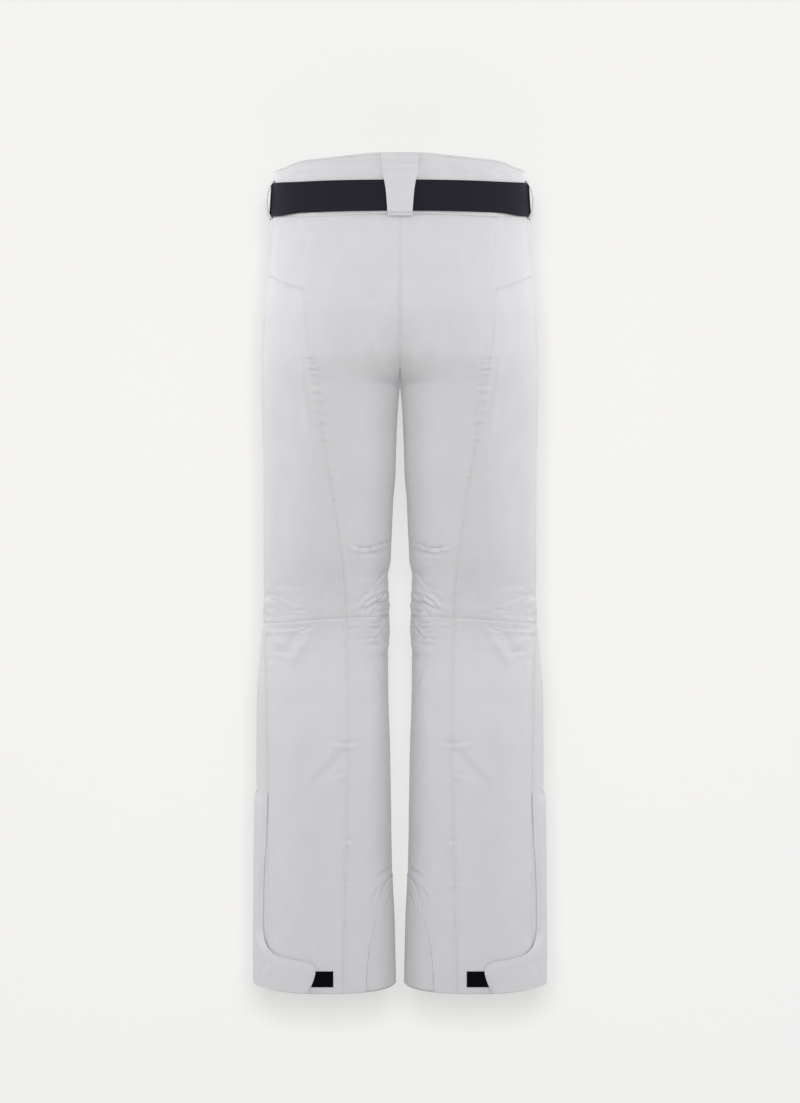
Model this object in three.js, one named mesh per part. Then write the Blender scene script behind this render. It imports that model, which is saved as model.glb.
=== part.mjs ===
// Women's ski pants with a wide elastic belt, built panel by panel as they are sewn.
// Millimetres, +Z up. The wearer faces -Y and the wearer's left is +X. The origin is the centre
// of the waist opening, level with the top of the back waistband, so everything hangs below it.
import * as THREE from "three";

// ---------------------------------------------------------------- driving dimensions
const SHELL = 3; // outer fabric, insulation and lining together
const SEAM = 0.4; // clear gap where two sewn panels meet
const LIFT = 0.5; // clear gap under anything that lies on a panel
const WAIST_SEAM_Z = -79; // lower edge of the waistband at the centre back
const CROTCH_Z = -292;
const KNEE_Z = -612; // height of the knee's fold
const KNEE_ZONE = 150; // height of the fabric that bends at the knee
const HIP_SLOPE = 0.35; // the hip's fold line climbs outwards from the crotch, like the groin crease
const HIP_ZONE = 170; // height of the fabric that bends at the hip
const HIP_GAP = 2.4; // clear gap at the fold line, where two curved edges of facets meet
const HEM_Z = -1052; // hem at the side seams
const HEEL_DROP = 7; // the hem is this much lower at the heel and higher at the instep
const BELT_HEIGHT = 40;
const BELT_THICK = 2;
const BELT_UNDER = 1; // from the waistband to the belt
const STRAP_THICK = 1.6; // belt loops and flaps
const ROUNDNESS = 0.91; // power of the sine and cosine in a cross-section: 1 is an ellipse
const INNER_ROUNDNESS = 0.78; // the same for the inner half of each leg, which lies flatter

const rad = (degrees) => (degrees * Math.PI) / 180;
const deg = (radians) => (radians * 180) / Math.PI;
const mix = (a, b, t) => a + (b - a) * t;
const evenly = (n) => Array.from({ length: n + 1 }, (_, i) => i / n);

// A smooth curve through [position, value] points that never overshoots them.
function through(points) {
  const p = [...points].sort((a, b) => a[0] - b[0]);
  const slope = p.slice(1).map((q, i) => (q[1] - p[i][1]) / (q[0] - p[i][0]));
  const tangent = p.map((_, i) => {
    if (i === 0) return slope[0];
    if (i === p.length - 1) return slope[i - 1];
    const product = slope[i - 1] * slope[i];
    return product <= 0 ? 0 : (2 * product) / (slope[i - 1] + slope[i]);
  });
  return (x) => {
    if (x <= p[0][0]) return p[0][1];
    if (x >= p.at(-1)[0]) return p.at(-1)[1];
    const i = p.findIndex((q) => q[0] >= x) - 1;
    const width = p[i + 1][0] - p[i][0];
    const t = (x - p[i][0]) / width;
    return (
      p[i][1] * (1 + 2 * t) * (1 - t) ** 2 +
      p[i + 1][1] * t * t * (3 - 2 * t) +
      width * (tangent[i] * t * (1 - t) ** 2 + tangent[i + 1] * t * t * (t - 1))
    );
  };
}

// ---------------------------------------------------------------- the body of the pants
// Each curve gives one measure of the left half against the height z.
const outerHalfWidth = through([
  [0, 160], [-74, 164.5], [-147, 169], [-205, 174.7], [-282, 176.6], [-400, 174.7],
  [-551, 174.7], [-627, 179], [-680, 183.5], [-743, 184.3], [-900, 183.5], [-1065, 183.5],
]);
const innerHalfGap = through([
  [-292, 0.3], [-336, 3.8], [-397, 5.9], [-410, 6.4], [-430, 8.4], [-489, 11.3], [-514, 12.5],
  [-533, 16], [-549, 15], [-579, 14.1], [-594, 13.4], [-608, 14.2], [-627, 15.7], [-680, 15.3],
  [-760, 12.8], [-910, 10.6], [-975, 7.7], [-1065, 5.9],
]);
const centreX = through([
  [0, 0], [-90, 0], [-147, 27], [-205, 55], [-250, 74], [-292, 87], [-400, 90],
  [-527, 95], [-680, 99], [-1065, 95],
]);
const backDepth = through([
  [0, 92], [-40, 94], [-84, 101], [-147, 116], [-205, 124], [-250, 122], [-292, 113],
  [-400, 97], [-500, 83], [-560, 71], [-612, 66], [-680, 72], [-750, 78], [-1065, 84],
]);
const frontDepth = through([
  [0, 90], [-84, 95], [-157, 96.5], [-215, 98], [-292, 98.5], [-400, 94], [-500, 88],
  [-612, 83], [-700, 74], [-800, 69], [-900, 71], [-1065, 82],
]);
// Angle, round the left leg, at which the centre seam is met: 90 is the middle of the back.
const centreSeamAngle = through([
  [0, 90], [-90, 90], [-147, 85], [-205, 76], [-250, 59], [-275, 39], [-287, 20], [CROTCH_Z, 0],
]);
// Distance of the back panel seam and of the side seam from the middle of the garment.
const backSeamX = through([
  [WAIST_SEAM_Z, 120], [-170, 120], [-261, 112], [-374, 94], [-436, 84], [-562, 69.5],
  [-689, 65.6], [-790, 66], [-892, 68.4], [-1065, 72.4],
]);
const sideSeamX = through([
  [-84, 162], [-282, 174], [-551, 172.5], [-600, 172], [-640, 170.6], [-743, 169], [-809, 168], [-1065, 168],
]);
// Heights against the angle round the waist: 0 is the middle of the back, 180 the middle of the front.
const waistTop = through([
  [0, 0], [8, -0.2], [20, -3], [30, -5], [39, -6.5], [49, -7.8], [57, -11], [65, -14.6], [77, -15.6],
  [90, -17], [135, -32], [180, -40],
]);
const beltTop = through([[0, -35], [45, -35], [90, -32], [135, -41], [180, -50]]);
const waistSeam = through([[0, WAIST_SEAM_Z], [45, -80], [66, -76], [90, -77], [180, -97]]);
// The belt hangs a little deeper at the sides than at the back.
const beltSlack = through([[46, 0], [66, 3]]);

const power = (value, roundness = ROUNDNESS) => Math.sign(value) * Math.abs(value) ** roundness;

// A point of the left leg or half torso. Angle 0 is the inseam, 90 the back, 180 the outer side.
function legPoint(angle, z) {
  const c = Math.cos(rad(angle));
  const s = Math.sin(rad(angle));
  const roundness = c > 0 ? INNER_ROUNDNESS : ROUNDNESS;
  const middle = centreX(z);
  const seam = Math.max(Math.cos(rad(centreSeamAngle(z))), 1e-6) ** INNER_ROUNDNESS;
  const inner = z > CROTCH_Z ? middle / seam : middle - innerHalfGap(z);
  const reach = c > 0 ? inner : outerHalfWidth(z) - middle;
  const depth = s > 0 ? backDepth(z) : frontDepth(z);
  return new THREE.Vector3(middle - reach * power(c, roundness), depth * power(s, roundness), z);
}

// A point of the waist. Angle 0 is the middle of the back and 90 the left side.
function waistPoint(angle, z) {
  const c = Math.cos(rad(angle));
  return new THREE.Vector3(
    outerHalfWidth(z) * power(Math.sin(rad(angle))),
    (c > 0 ? backDepth(z) : frontDepth(z)) * power(c),
    z,
  );
}

// The surface point moved outwards by offset. Both angles run so that up x forward points out.
function offsetPoint(surface, angle, z, offset) {
  const step = 0.5;
  const along = surface(angle + step, z).sub(surface(angle - step, z));
  const up = surface(angle, z + step).sub(surface(angle, z - step));
  const normal = up.cross(along).normalize();
  return surface(angle, z).addScaledVector(normal, offset);
}

// The angle, at the back of the left half, of a point that far from the middle of the garment.
function angleAtX(x, z) {
  const middle = centreX(z);
  const reach = x < middle ? middle - legPoint(0, z).x : outerHalfWidth(z) - middle;
  const roundness = x < middle ? INNER_ROUNDNESS : ROUNDNESS;
  const share = Math.min(Math.abs(middle - x) / reach, 1) ** (1 / roundness);
  return x < middle ? deg(Math.acos(share)) : deg(Math.acos(-share));
}
const waistAngleAtX = (x, z) => deg(Math.asin((x / outerHalfWidth(z)) ** (1 / ROUNDNESS)));
const backSeam = (z) => angleAtX(backSeamX(z), z);
const sideSeam = (z) => angleAtX(sideSeamX(z), z);
const hipFold = (drop) => (angle, z) => CROTCH_Z - drop + HIP_SLOPE * Math.max(legPoint(angle, z).x, 0);
const hem = (angle) => HEM_Z - HEEL_DROP * Math.sin(rad(angle));

// ---------------------------------------------------------------- making solids
// Two faces, each a grid of points, and the walls between their edges, as one closed geometry.
function closedSheet(us, vs, pointAt, ring = false) {
  const columns = ring ? us.slice(0, -1) : us;
  const points = [];
  for (const layer of [0, 1]) {
    for (const v of vs) {
      for (const u of columns) points.push(pointAt(u, v, layer));
    }
  }
  const id = (layer, j, i) => (layer * vs.length + j) * columns.length + (i % columns.length);
  const faces = [];
  const quad = (a, b, c, d) => faces.push(a, b, c, a, c, d);
  const spans = us.length - 1;
  for (let j = 0; j < vs.length - 1; j++) {
    for (let i = 0; i < spans; i++) {
      quad(id(0, j, i), id(0, j + 1, i), id(0, j + 1, i + 1), id(0, j, i + 1));
      quad(id(1, j, i), id(1, j, i + 1), id(1, j + 1, i + 1), id(1, j + 1, i));
    }
    if (!ring) {
      quad(id(0, j, 0), id(1, j, 0), id(1, j + 1, 0), id(0, j + 1, 0));
      quad(id(0, j, spans), id(0, j + 1, spans), id(1, j + 1, spans), id(1, j, spans));
    }
  }
  const last = vs.length - 1;
  for (let i = 0; i < spans; i++) {
    quad(id(0, 0, i), id(0, 0, i + 1), id(1, 0, i + 1), id(1, 0, i));
    quad(id(0, last, i), id(1, last, i), id(1, last, i + 1), id(0, last, i + 1));
  }
  const geometry = new THREE.BufferGeometry().setFromPoints(points);
  geometry.setIndex(signedVolume(points, faces) < 0 ? faces.reverse() : faces);
  return geometry;
}

function signedVolume(points, faces) {
  let sum = 0;
  for (let i = 0; i < faces.length; i += 3) {
    const [a, b, c] = [points[faces[i]], points[faces[i + 1]], points[faces[i + 2]]];
    sum += a.dot(b.clone().cross(c));
  }
  return sum / 6;
}

// A piece of fabric over part of a surface. left and right are angles against z, top and bottom are
// heights against angle and z, and outer and inner are its offsets from the surface. The edges
// depend on each other, so a point is found by going back and forth between them.
const FABRIC = { surface: legPoint, outer: 0, inner: -SHELL, ring: false, clamp: true };
const START_Z = -500;
const PASSES = 14;
function fabric(piece) {
  const { surface, left, right, top, bottom, us, vs, outer, inner, ring, clamp } = { ...FABRIC, ...piece };
  const value = (f, ...args) => (typeof f === "function" ? f(...args) : f);
  return closedSheet(us, vs, (u, v, layer) => {
    let angle = mix(value(left, START_Z), value(right, START_Z), u);
    let z = mix(value(top, angle, START_Z), value(bottom, angle, START_Z), v);
    for (let pass = 0; pass < PASSES; pass++) {
      angle = mix(value(left, z), value(right, z), u);
      z = mix(value(top, angle, z), value(bottom, angle, z), v);
    }
    const point = offsetPoint(surface, angle, z, value(layer ? inner : outer, angle, z, v));
    if (clamp) point.x = Math.max(point.x, SEAM / 2);
    return point;
  }, ring);
}

// A frame that lies flat on the left half between two surface points: x along, y across, z outwards.
// It stands just clear of the surface everywhere within its footprint.
function flatFrame(surface, [angleA, zA], [angleB, zB], width) {
  const a = surface(angleA, zA);
  const b = surface(angleB, zB);
  const x = b.clone().sub(a).normalize();
  const middle = offsetPoint(surface, (angleA + angleB) / 2, (zA + zB) / 2, 1);
  const out = middle.sub(surface((angleA + angleB) / 2, (zA + zB) / 2));
  const z = out.addScaledVector(x, -out.dot(x)).normalize();
  const y = z.clone().cross(x);
  const length = a.distanceTo(b);
  let highest = -Infinity;
  const margin = 6;
  const samples = evenly(48);
  for (const u of samples) {
    for (const v of samples) {
      const angle = mix(Math.min(angleA, angleB) - 16, Math.max(angleA, angleB) + 16, u);
      const height = mix(Math.min(zA, zB) - 12, Math.max(zA, zB) + 12, v);
      const p = surface(angle, height).sub(a);
      const inLength = p.dot(x) > -margin && p.dot(x) < length + margin;
      const inside = inLength && Math.abs(p.dot(y)) < width / 2 + 1;
      if (inside) highest = Math.max(highest, p.dot(z));
    }
  }
  const frame = new THREE.Group();
  frame.position.copy(a).addScaledVector(z, highest + LIFT);
  frame.quaternion.setFromRotationMatrix(new THREE.Matrix4().makeBasis(x, y, z));
  return { frame, length };
}

function box(length, width, height, x = 0, y = 0, z = 0) {
  return new THREE.BoxGeometry(length, width, height).translate(x, y, z);
}

// A flat outline in the frame's x and y, made thick along z from base.
function plate(outline, thick, base = 0) {
  const shape = new THREE.Shape(outline.map(([x, y]) => new THREE.Vector2(x, y)));
  return new THREE.ExtrudeGeometry(shape, { depth: thick, bevelEnabled: false }).translate(0, 0, base);
}

// ---------------------------------------------------------------- materials
function finish(color, roughness, metalness = 0) {
  return new THREE.MeshStandardMaterial({ color, roughness, metalness });
}
const MATERIALS = {
  shell: finish(0xd3d5d7, 0.62),
  belt: finish(0x24232c, 0.85),
  hook_tape: finish(0x0c0b11, 0.9),
  lining: finish(0xc4c7ca, 0.7),
  zip: finish(0xb9bcc0, 0.55),
  metal: finish(0xb8babf, 0.28, 1),
};

const pants = new THREE.Group();
function add(parent, name, geometry, material) {
  const mesh = new THREE.Mesh(geometry, MATERIALS[material]);
  mesh.name = name;
  parent.add(mesh);
}

// The two halves mirror each other. Each named piece is made for the left and again for the right.
const halves = ["left", "right"].map((side) => {
  const group = new THREE.Group();
  if (side === "right") group.scale.x = -1;
  pants.add(group);
  return { side, group };
});
function addBoth(name, make, material, frame) {
  for (const { side, group } of halves) {
    const holder = frame ? frame.clone() : group;
    if (frame) group.add(holder);
    add(holder, `${name}_${side}`, make(), material);
  }
}

// ---------------------------------------------------------------- waistband, belt and loops
const BAND = { surface: waistPoint, clamp: false };
const BAND_JOIN = waistAngleAtX(120, -40);
const BAND_GAP = deg(SEAM / 2 / 100); // half a seam's gap, as an angle round the waist
const BELT_OUTER = BELT_UNDER + BELT_THICK;
const BELT_END = 171; // the strap runs this far round each way and ends behind the buckle
const BUCKLE = { length: 64, height: 46, thick: 3, z: -70 };
const UNDERLAP = { halfSpan: 12, depth: SHELL + LIFT };
const SNAP = { radius: 7.5, thick: 1.6, x: 12 };
const HANGER = { reach: 28, thick: 1.6, width: 8, drop: 26, top: -4, clear: 3 };

function addWaistband() {
  const top = (angle) => waistTop(Math.abs(angle));
  const bottom = (angle) => waistSeam(Math.abs(angle));
  const span = { ...BAND, top, bottom, vs: evenly(2) };
  const back = { ...span, left: BAND_GAP - BAND_JOIN, right: BAND_JOIN - BAND_GAP, us: evenly(16) };
  add(pants, "waistband_back", fabric(back), "shell");
  const front = { ...span, left: BAND_JOIN + BAND_GAP, right: 180 - BAND_GAP, us: evenly(18) };
  addBoth("waistband", () => fabric(front), "shell");

  const level = (curve, shift) => (angle) => curve(180 - Math.abs(angle - 180)) + shift;
  const underlap = {
    ...BAND, left: 180 - UNDERLAP.halfSpan, right: 180 + UNDERLAP.halfSpan, us: evenly(5), vs: [0, 1],
    top: level(waistTop, -2), bottom: level(waistSeam, 0),
    outer: -UNDERLAP.depth, inner: -UNDERLAP.depth - STRAP_THICK,
  };
  add(pants, "waist_underlap", fabric(underlap), "shell");
  const cap = new THREE.CylinderGeometry(SNAP.radius, SNAP.radius, SNAP.thick, 20);
  const capY = waistPoint(180, BUCKLE.z).y - LIFT - SNAP.thick / 2;
  add(pants, "snap_cap", cap.translate(SNAP.x, capY, BUCKLE.z), "metal");
}

function addHangerLoop() {
  const { reach, thick, width, drop } = HANGER;
  const outline = [
    [-reach, -drop], [-reach, 0], [reach, 0], [reach, -drop],
    [reach - thick, -drop], [reach - thick, -thick], [thick - reach, -thick], [thick - reach, -drop],
  ];
  const loop = plate(outline, width).rotateX(Math.PI / 2);
  const y = waistPoint(0, -20).y - SHELL - HANGER.clear;
  add(pants, "hanger_loop", loop.translate(0, y, HANGER.top), "lining");
}

function addBelt() {
  const strap = {
    ...BAND, left: -BELT_END, right: BELT_END, us: evenly(44), vs: [0, 1],
    top: (angle) => beltTop(Math.abs(angle)),
    bottom: (angle) => beltTop(Math.abs(angle)) - BELT_HEIGHT - beltSlack(Math.abs(angle)),
    outer: BELT_OUTER, inner: BELT_UNDER,
  };
  add(pants, "belt_strap", fabric(strap), "belt");

  const base = -waistPoint(180, BUCKLE.z).y + BELT_OUTER + LIFT;
  const back = box(BUCKLE.length, BUCKLE.thick, BUCKLE.height);
  add(pants, "buckle_plate", back.translate(0, -base - BUCKLE.thick / 2, BUCKLE.z), "metal");
  // The latch is a plate with a round barrel along its hinged edge.
  const barrel = 1.6;
  const turns = evenly(8).map((t) => rad(90 + 180 * t));
  const rim = turns.map((t) => [barrel * Math.cos(t), barrel * Math.sin(t)]);
  const [reach, height] = [BUCKLE.length - 10, BUCKLE.height - 12];
  const latch = plate([...rim, [reach, -barrel], [reach, barrel]], height, -height / 2);
  const latchY = -base - BUCKLE.thick - LIFT - barrel;
  add(pants, "buckle_latch", latch.translate(-reach / 2, latchY, BUCKLE.z), "metal");
}

function addBeltLoops() {
  const over = BELT_OUTER + 2 * LIFT;
  const halfWidth = through([[0, 24.2], [-30, 21.8], [-35, 20], [-50, 17.6], [-80, 15.4], [-84, 15.2]]);
  const rise = through([[0, LIFT], [-28, LIFT], [-33.5, over], [-76.5, over], [-79.5, LIFT], [-84, LIFT]]);
  const back = {
    ...BAND, left: (z) => -waistAngleAtX(halfWidth(z), z), right: (z) => waistAngleAtX(halfWidth(z), z),
    top: -1.2, bottom: -83.5, us: evenly(6), vs: evenly(18),
    inner: (angle, z) => rise(z), outer: (angle, z) => rise(z) + STRAP_THICK,
  };
  add(pants, "belt_loop_back", fabric(back), "shell");

  // A side loop stands off the belt: it rises over its edge within a short ramp and bows out between.
  const [top, bottom, bow, ramp] = [-26, -83, 4, 0.1];
  const standOff = (z) => {
    const t = (top - z) / (top - bottom);
    const lift = Math.min(1, t / ramp, (1 - t) / ramp);
    const arch = Math.min(Math.max((t - ramp) / (1 - 2 * ramp), 0), 1);
    return mix(LIFT, over, lift) + bow * Math.sin(Math.PI * arch);
  };
  const side = {
    ...BAND, left: 79, right: 93, top, bottom, us: evenly(3), vs: evenly(18),
    inner: (angle, z) => standOff(z), outer: (angle, z) => standOff(z) + STRAP_THICK,
  };
  addBoth("belt_loop", () => fabric(side), "shell");
}

// ---------------------------------------------------------------- shell panels
const LEG_GAP = deg(SEAM / 2 / 85); // half a seam's gap, as an angle round a leg
const backOf = (seam) => (z) => seam(z) - LEG_GAP;
const frontOf = (seam) => (z) => seam(z) + LEG_GAP;
const waistLine = (angle) => waistSeam(Math.min(Math.abs(angle - 90), 180)) - SEAM;
const frontCentre = (z) => 360 - centreSeamAngle(z);

function addHips() {
  const span = { top: waistLine, bottom: hipFold(0) };
  const seat = { ...span, left: centreSeamAngle, right: backOf(backSeam), us: evenly(6), vs: evenly(7) };
  addBoth("seat_panel", () => fabric(seat), "shell");
  const yoke = { ...span, left: frontOf(backSeam), right: backOf(sideSeam), us: evenly(4), vs: evenly(6) };
  addBoth("side_yoke", () => fabric(yoke), "shell");
  const front = { ...span, left: frontOf(sideSeam), right: frontCentre, us: evenly(10), vs: evenly(6) };
  addBoth("front_panel", () => fabric(front), "shell");
  const [top, bottom] = [hipFold(HIP_GAP), hipFold(HIP_ZONE)];
  const bend = { left: 0, right: 360, top, bottom, us: evenly(30), vs: evenly(5), ring: true };
  addBoth("hip_bend", () => fabric(bend), "shell");
}

// Three panels round a leg: inside back, outside back, and the front with the outer side.
function addLegPanels(names, top, bottom, rows) {
  const span = { top, bottom, vs: evenly(rows) };
  const inside = { ...span, left: LEG_GAP, right: backOf(backSeam), us: evenly(5) };
  const outside = { ...span, left: frontOf(backSeam), right: backOf(sideSeam), us: evenly(6) };
  const front = { ...span, left: frontOf(sideSeam), right: 360 - LEG_GAP, us: evenly(14) };
  [inside, outside, front].forEach((panel, i) => addBoth(names[i], () => fabric(panel), "shell"));
}

function addLegs() {
  const kneeTop = KNEE_Z + KNEE_ZONE / 2;
  const kneeBottom = KNEE_Z - KNEE_ZONE / 2;
  const belowHip = hipFold(HIP_ZONE + 2 * SEAM);
  addLegPanels(["thigh_back_inner", "thigh_back_outer", "thigh_front"], belowHip, kneeTop, 4);
  const span = { left: 0, right: 360, top: kneeTop - 2 * SEAM, bottom: kneeBottom };
  addBoth("knee_bend", () => fabric({ ...span, us: evenly(28), vs: evenly(5), ring: true }), "shell");
  addLegPanels(["calf_inner", "calf_outer", "shin_front"], kneeBottom - 2 * SEAM, hem, 9);
}

// ---------------------------------------------------------------- lower leg
const OVERHANG = 1; // patches and flaps end this far above the hem

// Abrasion patch on the inside of the ankle, round the inseam from front to back.
function addScuffGuard() {
  const edgeX = through([[-912, 11.5], [-922, 16.4], [-940, 24.2], [-971, 31.9], [-1017, 41], [-1065, 44]]);
  const edge = (z) => angleAtX(edgeX(z), z);
  const [base, thick] = [LIFT + 0.9, 0.8];
  const scuff = {
    left: (z) => -edge(z), right: edge, top: -914, bottom: (angle) => hem(angle) + OVERHANG,
    us: evenly(8), vs: evenly(8), outer: base + thick, inner: base, clamp: false,
  };
  addBoth("scuff_guard", () => fabric(scuff), "shell");
}

// Snow cuff: an elastic inner tube that closes round the boot.
function addSnowCuff() {
  const [top, bottom, thick] = [-885, -1036, 1.6];
  const inset = (z) => mix(-7, -20, (top - z) / (top - bottom));
  const cuff = {
    left: 0, right: 360, top, bottom, us: evenly(24), vs: evenly(3), ring: true,
    outer: (angle, z) => inset(z), inner: (angle, z) => inset(z) - thick,
  };
  addBoth("snow_cuff", () => fabric(cuff), "lining");
}

const ZIP_WIDTH = 16;
const TAPE = 0.8;
const PLAY = 0.3; // from a zip's tape to its slider
const SLIDER = { length: 12, width: 9, height: 1.6, fromEnd: 9 };
const HEM_ZIP = { angle: 178, top: -822, bottom: -1046, sliderFromEnd: 14 };
const ZIP_TOP = TAPE + PLAY + SLIDER.height;
function sliderAt(x) {
  return box(SLIDER.length, SLIDER.width, SLIDER.height, x, 0, ZIP_TOP - SLIDER.height / 2);
}

function addHemZip() {
  const ends = [HEM_ZIP.top, HEM_ZIP.bottom].map((z) => [HEM_ZIP.angle, z]);
  const { frame, length } = flatFrame(legPoint, ...ends, ZIP_WIDTH);
  addBoth("hem_zip", () => box(length, ZIP_WIDTH, TAPE, length / 2, 0, TAPE / 2), "zip", frame);
  addBoth("hem_zip_slider", () => sliderAt(length - HEM_ZIP.sliderFromEnd), "metal", frame);
}

// One flap covers the side zip and turns into the tab that closes the hem on hook tape.
// Its rows are closer together where its edge turns.
const FLAP = { top: -809, hinge: 194, tabLift: 3.6, lift: 4.3, thick: 1.2 };
const FLAP_ROWS = [
  0, 0.15, 0.3, 0.45, 0.6, 0.7, 0.78, 0.81, 0.832, 0.85, 0.865, 0.885, 0.905, 0.93, 0.965, 1,
];
const flapEdgeX = through([
  [FLAP.top, 167], [-868, 169], [-932, 172.2], [-979, 172.7], [-990, 171.3], [-999, 167.5],
  [-1007, 161], [-1012, 153], [-1015, 140], [-1018.5, 119], [-1023, 109], [-1030, 106],
  [-1040, 108], [-1058, 115],
]);
function addHemFlap() {
  const lift = (angle) => mix(FLAP.tabLift, FLAP.lift, Math.min(Math.max((angle - 130) / 25, 0), 1));
  const flap = {
    left: (z) => angleAtX(flapEdgeX(z), z), right: FLAP.hinge,
    top: FLAP.top, bottom: (angle) => hem(angle) + OVERHANG, us: evenly(8), vs: FLAP_ROWS,
    inner: lift, outer: (angle) => lift(angle) + FLAP.thick,
  };
  addBoth("hem_flap", () => fabric(flap), "shell");
}

// Hook tape on the leg, and loop tape under the flap's tab.
function addTapes() {
  const strip = (inner, outer, base, thick) => ({
    left: (z) => angleAtX(inner, z), right: (z) => angleAtX(outer, z), top: -1030.5, bottom: -1050.5,
    us: evenly(5), vs: [0, 1], inner: base, outer: base + thick,
  });
  addBoth("hook_patch", () => fabric(strip(84, 128, 0.7, 0.8)), "hook_tape");
  addBoth("loop_patch", () => fabric(strip(112, 150, 2.1, 0.7)), "hook_tape");
}

// ---------------------------------------------------------------- fly and hand pockets
const PULL = { length: 24, width: 7, thick: 1, clear: 0.4 };

// A pull tab hangs from its slider: a plate hinged at the origin, pointing along +x.
function pullTab() {
  const [length, half, eye] = [PULL.length, PULL.width / 2, PULL.thick / 2];
  const cut = 1; // bevelled corner at the free end
  const outline = [
    [-eye, -half], [length - cut, -half], [length, cut - half],
    [length, half - cut], [length - cut, half], [-eye, half],
  ];
  return plate(outline, PULL.thick);
}

function addZip(place, frame, length, [tape, slider, pull]) {
  place(tape, () => box(length, ZIP_WIDTH, TAPE, length / 2, 0, TAPE / 2), "zip", frame);
  place(slider, () => sliderAt(SLIDER.fromEnd), "metal", frame);
  place(pull, () => pullTab().translate(SLIDER.fromEnd, 0, ZIP_TOP + PULL.clear), "metal", frame);
}

const FLY = { top: -102, bottom: -207, y: -99.2 };
const FLY_FLAP = { free: -13, sewn: 27, overhang: 6, cut: [8, 12] };
function addFly() {
  const frame = new THREE.Group();
  const axes = [new THREE.Vector3(0, 0, -1), new THREE.Vector3(1, 0, 0), new THREE.Vector3(0, -1, 0)];
  frame.position.set(0, FLY.y, FLY.top);
  frame.quaternion.setFromRotationMatrix(new THREE.Matrix4().makeBasis(...axes));
  pants.add(frame);
  const place = (name, make, material) => add(frame, name, make(), material);
  const length = FLY.top - FLY.bottom;
  addZip(place, frame, length, ["fly_zip", "fly_zip_slider", "fly_zip_pull"]);
  // The flap over the fly is sewn along the wearer's left, and its free edge is on the right.
  const { free, sewn, cut } = FLY_FLAP;
  const end = length + FLY_FLAP.overhang;
  const outline = [[0, free], [end - cut[0], free], [end, free + cut[1]], [end, sewn], [0, sewn]];
  const base = ZIP_TOP + PULL.clear + PULL.thick + PULL.clear;
  add(frame, "fly_flap", plate(outline, STRAP_THICK, base), "shell");
}

const POCKET = { top: [238, -110], bottom: [212, -206] };
function addPockets() {
  const { frame, length } = flatFrame(legPoint, POCKET.top, POCKET.bottom, ZIP_WIDTH);
  addZip(addBoth, frame, length, ["pocket_zip", "pocket_zip_slider", "pocket_zip_pull"]);
  const [clear, thick] = [3, 3]; // from the panel to the bag, and the empty bag lying flat
  const bag = {
    left: 214, right: 250, top: (angle) => waistLine(angle) - 12, bottom: -212,
    us: evenly(5), vs: evenly(4), outer: -SHELL - clear, inner: -SHELL - clear - thick,
  };
  addBoth("pocket_bag", () => fabric(bag), "lining");
}

addWaistband();
addHangerLoop();
addBelt();
addBeltLoops();
addHips();
addLegs();
addScuffGuard();
addSnowCuff();
addHemZip();
addHemFlap();
addTapes();
addFly();
addPockets();

export default pants;
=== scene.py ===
"""Ski pants with a wide elastic belt: the cloth, seams, belt, zips and tabs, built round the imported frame.

The shapes are worked out in millimetres, in the row's frame: the wearer faces -Y and their left is +X.
Each half is made on the left, in angles round the leg (0 inseam, 90 back, 180 outer side, 270 front)
or round the waist (0 back, 90 left side, 180 front), and mirrored for the right.
"""
import math

import bpy
import numpy as np
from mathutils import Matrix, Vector


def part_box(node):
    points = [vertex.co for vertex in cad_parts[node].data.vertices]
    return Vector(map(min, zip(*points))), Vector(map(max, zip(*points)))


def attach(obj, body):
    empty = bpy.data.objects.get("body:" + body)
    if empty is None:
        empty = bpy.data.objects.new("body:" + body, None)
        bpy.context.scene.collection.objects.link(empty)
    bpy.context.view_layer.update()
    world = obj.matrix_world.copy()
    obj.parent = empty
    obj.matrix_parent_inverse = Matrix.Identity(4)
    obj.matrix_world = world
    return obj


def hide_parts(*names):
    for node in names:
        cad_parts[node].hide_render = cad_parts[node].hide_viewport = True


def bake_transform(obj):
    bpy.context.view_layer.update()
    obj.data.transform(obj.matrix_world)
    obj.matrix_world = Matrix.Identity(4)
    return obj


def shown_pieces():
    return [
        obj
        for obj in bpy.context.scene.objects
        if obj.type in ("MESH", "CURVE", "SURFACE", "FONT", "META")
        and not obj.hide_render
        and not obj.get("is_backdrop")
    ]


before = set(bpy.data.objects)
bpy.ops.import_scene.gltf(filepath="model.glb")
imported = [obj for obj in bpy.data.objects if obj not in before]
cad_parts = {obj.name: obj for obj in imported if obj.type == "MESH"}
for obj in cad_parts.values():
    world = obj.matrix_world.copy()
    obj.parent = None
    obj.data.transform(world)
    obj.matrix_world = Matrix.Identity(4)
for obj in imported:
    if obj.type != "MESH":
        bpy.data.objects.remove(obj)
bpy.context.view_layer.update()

MM = 0.001
SIDES = (("left", 1), ("right", -1))

# ---- measures, in mm
WAIST_SEAM_Z = -77.5
CROTCH_Z = -292.0
MID_THIGH_Z = -515.0  # a cut that doesn't show, between the cloth of the hip and that of the knee
HEM_Z = -1052.0
HEEL_DROP = 7.0
BELT = {"height": 40.0, "under": 1.0, "thick": 2.0, "end": 171.0}
CLOTH_THICK = 1.4
ROUNDNESS = 0.91
INNER_ROUNDNESS = 0.78
SEAM_DEPTH = 0.55
SEAM_WIDTH = 1.0
BAND_JOIN_X = 120.0  # the seams between the back and front pieces of the waistband
FAR = 99  # too far from a seam for its stitches to show
TOOTH = (0.9, 2.6, 0.9)  # along the zip, across it and out of it
TOOTH_PITCH = 1.5
TOOTH_RISE = 0.2  # low enough for the slider, which is 0.3 off the tape, to pass over


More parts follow.
